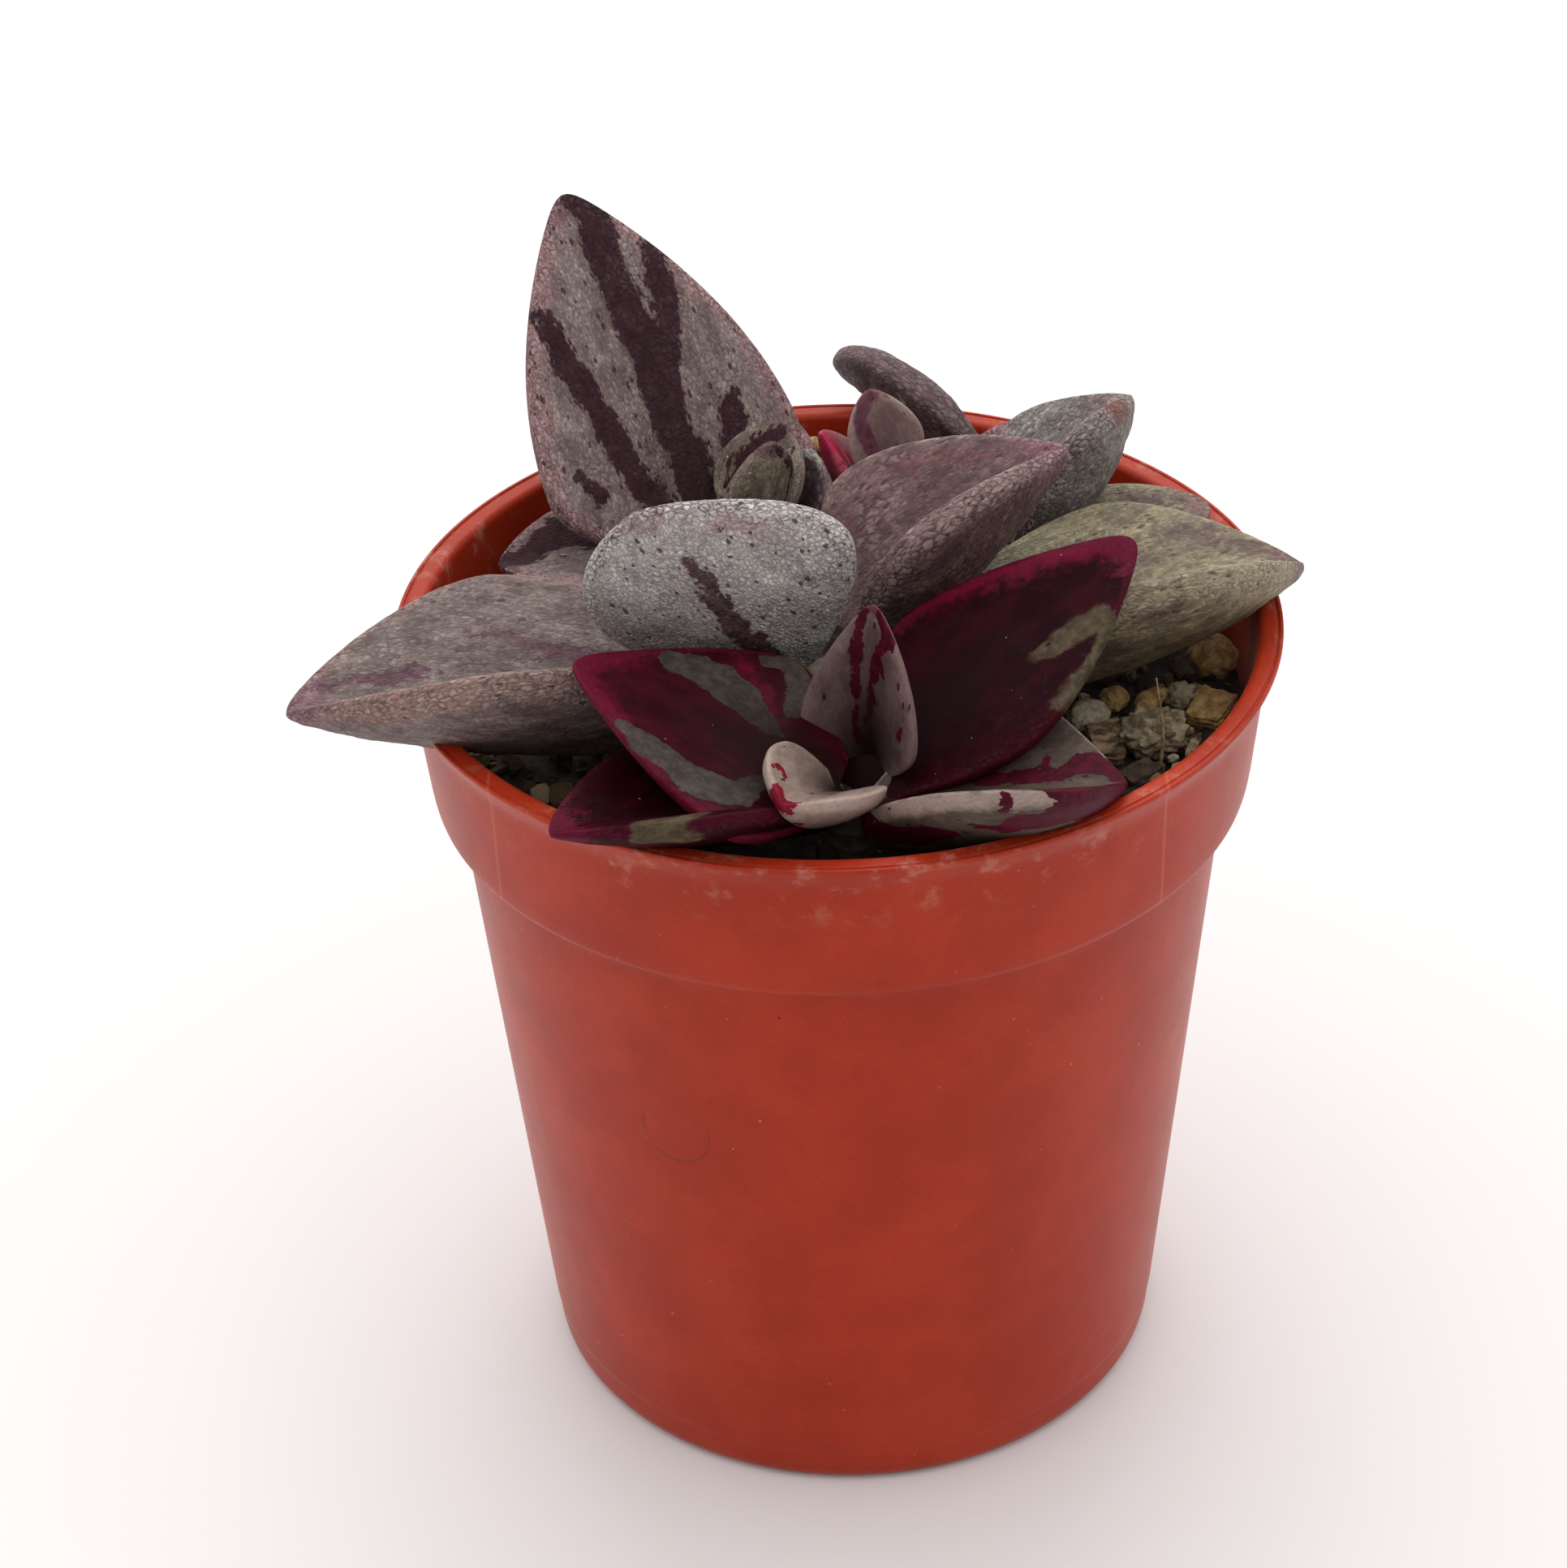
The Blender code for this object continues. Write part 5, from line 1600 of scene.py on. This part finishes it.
@dataclass(frozen=True)
class Lump:
    """A stone or a chip in the surface of the mix.

    Attributes:
        name: Piece name.
        x: Place, in millimetres to the right.
        y: Place, in millimetres to the rear.
        rise: Height of its centre above the mix, in millimetres.
        size: Length, width and height, in millimetres.
        turn: Heading of its length, in degrees.
        tilt: Slope of its length, in degrees.
        look: Name of its finish.
        knobs: How far round knobs stand out of it, as a share of its size.
    """

    name: str
    x: float
    y: float
    rise: float
    size: tuple[float, float, float]
    turn: float
    tilt: float
    look: str
    knobs: float = 0.0


@dataclass
class Mix:
    """The gritty mix: its bed, grains, stones and chips.

    Attributes:
        effects: The shared node groups.
        sides: Sides of the bed.
        bed_radius: Radius of its top, in millimetres.
        bed_rings: Rings of points on the bed's top.
        grains: Number of grains strewn on the bed.
        seed: Seed of every draw.
        stones: The stones, each its own piece.
        chips: The flat layered chips.
        straw_foot: Place of a dry straw that stands in the mix, in millimetres.
        straw_top: Height of its tip, in millimetres.
    """

    effects: Effects
    sides: int = 144
    bed_radius: float = 25.0
    bed_rings: int = 70
    grains: int = 1500
    seed: int = 11
    stones: tuple[Lump, ...] = (
        Lump("tan_stone", 23.5, 0.7, 0.9, (3.2, 3.1, 2.8), 70, 0, "ochre"),
        Lump("black_block", 22.0, 0.3, 0.4, (2.6, 2.0, 1.9), 20, 0, "dark"),
        Lump("pale_stone", 15.3, -5.3, 0.7, (2.8, 2.5, 1.8), 20, 0, "pale"),
        Lump("round_pebble", 17.0, -3.3, 0.5, (1.8, 1.7, 1.6), 0, 0, "ochre"),
        Lump("long_stone", 19.1, -3.8, 0.5, (3.0, 1.5, 1.4), 50, 0, "ochre"),
        Lump("grit_cluster", 21.3, -3.0, 0.6, (2.6, 2.2, 1.9), 15, 0, "crumb", 0.35),
        Lump("crumb_clump", 19.0, -8.1, 1.2, (4.9, 3.6, 3.0), 10, 0, "crumb", 0.5),
        Lump("rear_granule", -1.1, 24.0, 0.6, (2.1, 2.0, 2.4), 0, 0, "ochre"),
        Lump("rear_granule_middle", -1.0, 24.1, 2.3, (1.9, 1.8, 2.0), 40, 0, "ochre"),
        Lump("rear_granule_top", -1.3, 23.9, 3.6, (1.5, 1.5, 1.4), 0, 0, "ochre"),
        Lump("rear_right_granule", 16.6, 16.7, 0.8, (2.6, 2.4, 2.4), 30, 0, "ochre"),
        Lump("rear_right_crumb", 16.3, 17.0, 2.2, (1.9, 1.7, 1.6), 0, 0, "ochre"),
        Lump("rear_pebble", 10.1, 21.8, 0.1, (1.3, 1.2, 1.1), 0, 0, "pale"),
        Lump("left_pebble", -22.0, -7.5, 0.4, (1.6, 1.4, 1.2), 0, 0, "pale"),
        Lump("white_crumb", 20.1, -9.8, 0.5, (0.7, 0.6, 0.6), 0, 0, "pale"),
    )
    chips: tuple[Lump, ...] = (
        Lump("ochre_chip", 22.9, -4.6, 0.6, (3.0, 2.3, 1.1), 60, 12, "ochre"),
        Lump("bark_chip", 16.1, -8.5, 0.6, (2.8, 2.0, 1.1), 100, 15, "bark"),
        Lump("dark_bark", 18.1, -11.4, 0.4, (2.4, 1.6, 0.8), 30, 10, "dark"),
        Lump("curled_bark", 21.4, -8.8, 0.5, (1.8, 0.6, 0.5), 70, 20, "bark"),
    )
    straw_foot: tuple[float, float] = (19.1, -11.1)
    straw_top: float = 55.2

    def level(self, x: float, y: float) -> float:
        """Height of the bed at a place, in millimetres."""
        wave = math.sin(0.9 * x + 0.4) * math.cos(0.7 * y - 0.8) + 0.6 * math.sin(0.5 * x - 1.1 * y + 2.0)
        return SOIL_LEVEL + 0.25 * wave / 1.6

    def build(self, leaves: list[Thing]) -> None:
        """Makes the bed, then what lies on it.

        Args:
            leaves: The leaves, which nothing pokes into.
        """
        bed = self.bed()
        looks = self.looks()
        finish_piece(bed, "bed", looks["peat"])
        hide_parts("soil")
        for count, lump in enumerate(self.stones):
            self.stone(lump, count, looks[lump.look])
        for count, lump in enumerate(self.chips):
            self.chip(lump, count, looks[lump.look])
        self.straw(looks["straw"])
        self.strew(leaves, looks["grain"])

    def bed(self) -> Thing:
        """The filling, with an uneven crumbly top.

        Returns:
            Its object.
        """
        step = POT_HEIGHT - COLLAR_DEPTH
        rings = [(FOOT_RADIUS - 2.4, FLOOR + 0.3), (FOOT_RADIUS - WALL - 0.5, FLOOR + 1.8)]
        rings += [(BODY_TOP_RADIUS - WALL - 0.5, step - 0.8), (COLLAR_FOOT_RADIUS - WALL - 0.5, step + 0.6)]
        for count in range(self.bed_rings):
            rings.append((self.bed_radius * (1 - count / self.bed_rings), SOIL_LEVEL))
        obj = extruded_rings(self.sides, rings)
        for vertex in obj.data.vertices:
            if vertex.co.z > (SOIL_LEVEL - 0.1) * MM:
                place = vertex.co / MM
                rough = 0.35 * noise.noise(place * 0.9) + 0.3 * noise.noise(place * 2.1)
                rough += 0.12 * noise.noise(place * 5.3)
                vertex.co.z = (self.level(place.x, place.y) + rough - 0.15) * MM
        smooth_shade(obj, 60.0)
        return obj

    def stone(self, lump: Lump, seed: int, look: Look) -> None:
        """Makes one stone.

        Args:
            lump: What is made.
            seed: Seed of its unevenness.
            look: Its material.
        """
        deselect_all()
        bpy.ops.mesh.primitive_ico_sphere_add(subdivisions=5, radius=0.5)
        obj = bpy.context.object
        shift = Vector((seed * 7.3, seed * 3.1, seed * 5.7))
        for vertex in obj.data.vertices:
            way = vertex.co.normalized()
            form = 1 + 0.22 * noise.noise(way * 1.3 + shift) + 0.08 * noise.noise(way * 3.4 + shift)
            form += 0.025 * noise.noise(way * 9 + shift)
            if lump.knobs > 0:
                form += lump.knobs * (0.4 - noise.voronoi(way * 2.6 + shift)[0][0])
                form += 0.3 * lump.knobs * (0.4 - noise.voronoi(way * 7 + shift)[0][0])
            vertex.co *= form
        self.put_down(obj, lump, look, 60.0)

    def chip(self, lump: Lump, seed: int, look: Look) -> None:
        """Makes one flat chip whose layers stand out at its sides.

        Args:
            lump: What is made.
            seed: Seed of its unevenness.
            look: Its material.
        """
        deselect_all()
        bpy.ops.mesh.primitive_cube_add(size=1.0)
        obj = bpy.context.object
        bpy.ops.object.mode_set(mode="EDIT")
        bpy.ops.mesh.subdivide(number_cuts=15)
        bpy.ops.object.mode_set(mode="OBJECT")
        shift = Vector((seed * 4.7, seed * 9.1, seed * 2.3))
        for vertex in obj.data.vertices:
            x, y, z = vertex.co
            layer = noise.noise(Vector((x * 0.7, y * 0.7, z * 9.0)) + shift)
            outline = noise.noise(Vector((x * 2.2, y * 2.2, 0.0)) + shift)
            vertex.co.x *= 0.93 + 0.12 * layer + 0.22 * outline
            vertex.co.y *= 0.93 + 0.12 * layer + 0.22 * outline
            vertex.co.z += 0.16 * noise.noise(Vector((x * 1.6, y * 1.6, 0.5)) + shift)
            vertex.co.z += 0.05 * noise.noise(Vector((x * 7.0, y * 3.0, 0.5)) + shift)
        self.put_down(obj, lump, look, 45.0)

    def put_down(self, obj: Thing, lump: Lump, look: Look, angle: float) -> None:
        """Brings a stone or a chip to its size and place, and finishes it.

        Args:
            obj: Its object, about one unit across.
            lump: What is made.
            look: Its material.
            angle: How sharp an edge stays visible, in degrees.
        """
        obj.scale = Vector(lump.size) * MM
        obj.rotation_euler = (0.0, math.radians(-lump.tilt), math.radians(lump.turn))
        obj.location = Vector((lump.x, lump.y, self.level(lump.x, lump.y) + lump.rise)) * MM
        settle(obj)
        smooth_shade(obj, angle)
        finish_piece(obj, lump.name, look)

    def straw(self, look: Look) -> None:
        """Makes a dry straw that stands in the mix.

        Args:
            look: Its material.
        """
        rise = self.straw_top - SOIL_LEVEL
        rings = [(0.02, SOIL_LEVEL - 1.0), (0.14, SOIL_LEVEL - 0.9)]
        rings += [(0.14 - 0.09 * step / 12, SOIL_LEVEL + rise * step / 12) for step in range(13)]
        obj = extruded_rings(10, rings)
        x, y = self.straw_foot
        for vertex in obj.data.vertices:
            height = vertex.co.z / MM - SOIL_LEVEL
            vertex.co.x += (x + 0.25 * math.sin(0.6 * height)) * MM
            vertex.co.y += (y + 0.03 * height**2 / 2) * MM
        smooth_shade(obj, 60.0)
        finish_piece(obj, "dry_straw", look)

    def grain_shape(self, kind: int) -> Mesh:
        """Models one of the grains that are strewn.

        Args:
            kind: 0 for a crumb, 1 for a flake and 2 for a splinter.

        Returns:
            Its mesh, about one unit across.
        """
        draw = random.Random(self.seed + kind)
        deselect_all()
        if kind == 0:
            bpy.ops.mesh.primitive_ico_sphere_add(subdivisions=2, radius=0.5)
        else:
            bpy.ops.mesh.primitive_cube_add(size=1.0)
            bpy.ops.object.mode_set(mode="EDIT")
            bpy.ops.mesh.subdivide(number_cuts=1)
            bpy.ops.transform.resize(value=(1.0, 0.55, 0.22) if kind == 1 else (1.6, 0.22, 0.2))
            bpy.ops.object.mode_set(mode="OBJECT")
        obj = bpy.context.object
        for vertex in obj.data.vertices:
            vertex.co *= 1 + draw.uniform(-0.22, 0.22)
        mesh = obj.data.copy()
        bpy.data.objects.remove(obj, do_unlink=True)
        return mesh

    def strew(self, leaves: list[Thing], look: Look) -> None:
        """Strews grains of every size over the bed, clear of the leaves.

        Args:
            leaves: The leaves.
            look: The grains' material.
        """
        draw = random.Random(self.seed)
        shapes = [self.grain_shape(kind) for kind in range(3)]
        trees = [self.tree_of(leaf) for leaf in leaves]
        grains = []
        for _ in range(self.grains):
            size = 0.35 + 1.5 * draw.random() ** 3
            radius = (self.bed_radius - 0.5 * size) * math.sqrt(draw.random())
            turn = draw.uniform(0, 2 * math.pi)
            x, y = radius * math.cos(turn), radius * math.sin(turn)
            start = Vector((x, y, SOIL_LEVEL - 0.5)) * MM
            blocked = any(tree.ray_cast(start, Vector((0, 0, 1)), (size + 1.0) * MM)[0] for tree in trees)
            kind = draw.choice((0, 0, 0, 1, 1, 2))
            spin = Matrix.Rotation(draw.uniform(0, 6.28), 4, "Z")
            spin = spin @ Matrix.Rotation(draw.uniform(-0.7, 0.7), 4, "X")
            tone = draw.random()
            if blocked:
                continue
            place = Vector((x, y, self.level(x, y) + 0.1 * size)) * MM
            mesh = shapes[kind].copy()
            mesh.transform(Matrix.Translation(place) @ spin @ Matrix.Scale(size * MM, 4))
            keep(mesh, "tone", np.full(len(mesh.vertices), tone))
            obj = bpy.data.objects.new("grain", mesh)
            bpy.context.collection.objects.link(obj)
            grains.append(obj)
        joined = join(grains)
        smooth_shade(joined, 30.0)
        finish_piece(joined, "strewn_grains", look)

    def tree_of(self, obj: Thing) -> BVHTree:
        """Search tree of an object's faces.

        Args:
            obj: The object.

        Returns:
            The tree.
        """
        shape = bmesh.new()
        shape.from_mesh(obj.data)
        tree = BVHTree.FromBMesh(shape)
        shape.free()
        return tree

    def looks(self) -> dict[str, Look]:
        """The finishes of the mix, by name."""
        return {
            "peat": self.earth("peat", (0.012, 0.007, 0.005), (0.035, 0.021, 0.013), 0.95),
            "ochre": self.earth("ochre_stone", (0.24, 0.12, 0.035), (0.52, 0.34, 0.14), 0.85),
            "pale": self.earth("pale_stone", (0.26, 0.21, 0.14), (0.50, 0.43, 0.31), 0.8),
            "dark": self.earth("dark_stone", (0.035, 0.022, 0.014), (0.10, 0.062, 0.036), 0.85),
            "crumb": self.earth("grey_crumb", (0.13, 0.095, 0.055), (0.38, 0.31, 0.20), 0.9),
            "bark": self.earth("layered_bark", (0.06, 0.032, 0.018), (0.42, 0.30, 0.16), 0.85, layered=True),
            "straw": self.earth("straw", (0.22, 0.14, 0.06), (0.46, 0.34, 0.17), 0.7),
            "grain": self.grain_look(),
        }

    def earth(self, name: str, dark: Colour, light: Colour, roughness: float, layered: bool = False) -> Look:
        """A dusty mineral finish.

        Args:
            name: Material name.
            dark: Colour of its hollows.
            light: Colour of its faces.
            roughness: Its roughness.
            layered: Whether it has layers.

        Returns:
            The material.
        """
        made, graph, shader = new_material(name, Roughness=roughness)
        place = graph.place()
        spread = graph.stretch(place, (0.5, 0.5, 5.0)) if layered else place
        colour = graph.mix(graph.patches(0.36, 0.64, spread, 0.9, 5.0, 0.65), dark, light)
        pits = graph.use(self.effects.flecks, Place=place, Spacing=0.4, Size=0.3, Amount=0.35)["Mask"]
        colour = graph.mix(graph.product(pits, 0.6), colour, dark)
        grit = graph.noise(place, 0.12, 3.0, 0.6)
        lumps = graph.product(graph.noise(place, 0.5, 4.0), 1.5)
        height = graph.math("SUBTRACT", graph.total(grit, lumps), graph.product(pits, 0.6))
        add_surface(graph, shader, graph.vary(colour, grit, 0.6, 1.4), height, 0.12)
        return made

    def grain_look(self) -> Look:
        """Grains from peat black through bark brown to pale grit, each its own tone.

        Returns:
            The material.
        """
        made, graph, shader = new_material("strewn_grain", Roughness=0.9)
        ramp = graph.add("ValToRGB", {0: graph.attribute("tone")})
        stops = ramp.color_ramp.elements
        stops[0].color = (0.010, 0.006, 0.004, 1.0)
        stops[1].color = (0.42, 0.33, 0.20, 1.0)
        for position, colour in (
            (0.55, (0.028, 0.016, 0.010)), (0.75, (0.07, 0.038, 0.020)), (0.9, (0.17, 0.10, 0.045)),
        ):
            stops.new(position).color = (*colour, 1.0)
        grit = graph.noise(graph.place(), 0.15, 4.0, 0.6)
        add_surface(graph, shader, graph.vary(ramp.outputs[0], grit, 0.5, 1.5), grit, 0.08)
        return made


# Picture


@dataclass
class Studio:
    """The camera, the floor and the light.

    Attributes:
        focal_length: Focal length on a sensor 36 mm along the photograph's longer side.
        place: The camera's place, in metres.
        pitch: How far it looks down, in degrees.
        yaw: How far it is turned to the left, in degrees.
        roll: How far it is tilted, in degrees.
        brightest: Direction in which the room is brightest.
        lamp_place: The lamp's place, in metres.
        lamp_target: The place that it shines at, in metres.
        lamp_size: Length of its sides, in metres.
        lamp_power: Its power, in watts.
    """

    focal_length: float = 93.0
    place: tuple[float, float, float] = (0.0, -0.21406, 0.18474)
    pitch: float = 33.82
    yaw: float = 0.98
    roll: float = -2.0
    brightest: tuple[float, float, float] = (0.0, 0.2, 0.98)
    lamp_place: tuple[float, float, float] = (0.0, 0.5, 0.75)
    lamp_target: tuple[float, float, float] = (0.0, 0.0, 0.04)
    lamp_size: float = 0.6
    lamp_power: float = 2.0

    def build(self) -> None:
        """Makes all of it."""
        self.camera()
        self.floor()
        self.light()

    def camera(self) -> None:
        """Sets the camera where the photograph was taken from."""
        lens = bpy.data.cameras.new("camera")
        lens.lens = self.focal_length
        lens.sensor_fit = "VERTICAL"
        lens.sensor_width = 36.0
        lens.sensor_height = 36.0
        lens.clip_start = 0.01
        camera = bpy.data.objects.new("camera", lens)
        bpy.context.collection.objects.link(camera)
        turn = Matrix.Rotation(math.radians(self.yaw), 4, "Z")
        nod = Matrix.Rotation(math.radians(90 - self.pitch), 4, "X")
        tilt = Matrix.Rotation(math.radians(self.roll), 4, "Z")
        camera.matrix_world = Matrix.Translation(self.place) @ turn @ nod @ tilt
        bpy.context.scene.camera = camera

    def floor(self) -> None:
        """A plain pale floor."""
        deselect_all()
        bpy.ops.mesh.primitive_plane_add(size=6.0, location=(0, 0, 0))
        floor = bpy.context.object
        floor.name = "floor"
        look, _, _ = new_material(
            "pale_floor", Base_Color=(0.76, 0.75, 0.75), Roughness=0.7, Specular_IOR_Level=0.2
        )
        floor.data.materials.append(look)

    def light(self) -> None:
        """A bright room, brighter overhead and behind, and a wide soft lamp there."""
        bpy.context.scene.view_settings.view_transform = "Standard"
        world = bpy.data.worlds.new("room")
        bpy.context.scene.world = world
        world.use_nodes = True
        graph = Graph(world.node_tree)
        plugs = {0: graph.add("TexCoord").outputs["Generated"], 1: self.brightest}
        aim = graph.add("VectorMath", plugs, operation="DOT_PRODUCT")
        share = graph.smooth(aim.outputs["Value"], -0.3, 0.95)
        background = world.node_tree.nodes["Background"]
        background.inputs["Color"].default_value = (1.0, 0.99, 0.98, 1.0)
        graph.plug(background.inputs["Strength"], graph.remap(share, 0.16, 1.5))
        lamp = bpy.data.lights.new("window", "AREA")
        lamp.size = self.lamp_size
        lamp.energy = self.lamp_power
        obj = bpy.data.objects.new("window", lamp)
        obj.location = self.lamp_place
        way = Vector(self.lamp_target) - obj.location
        obj.rotation_euler = way.to_track_quat("-Z", "Y").to_euler()
        bpy.context.collection.objects.link(obj)


def main() -> None:
    """Builds the picture and every piece of the part."""
    logging.basicConfig(level=logging.INFO, format="%(name)s: %(message)s")
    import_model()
    Studio().build()
    effects = Effects()
    Pot(effects).build()
    leaves = Plant(effects).build()
    Mix(effects).build(leaves)


if __name__ == "__main__":
    main()
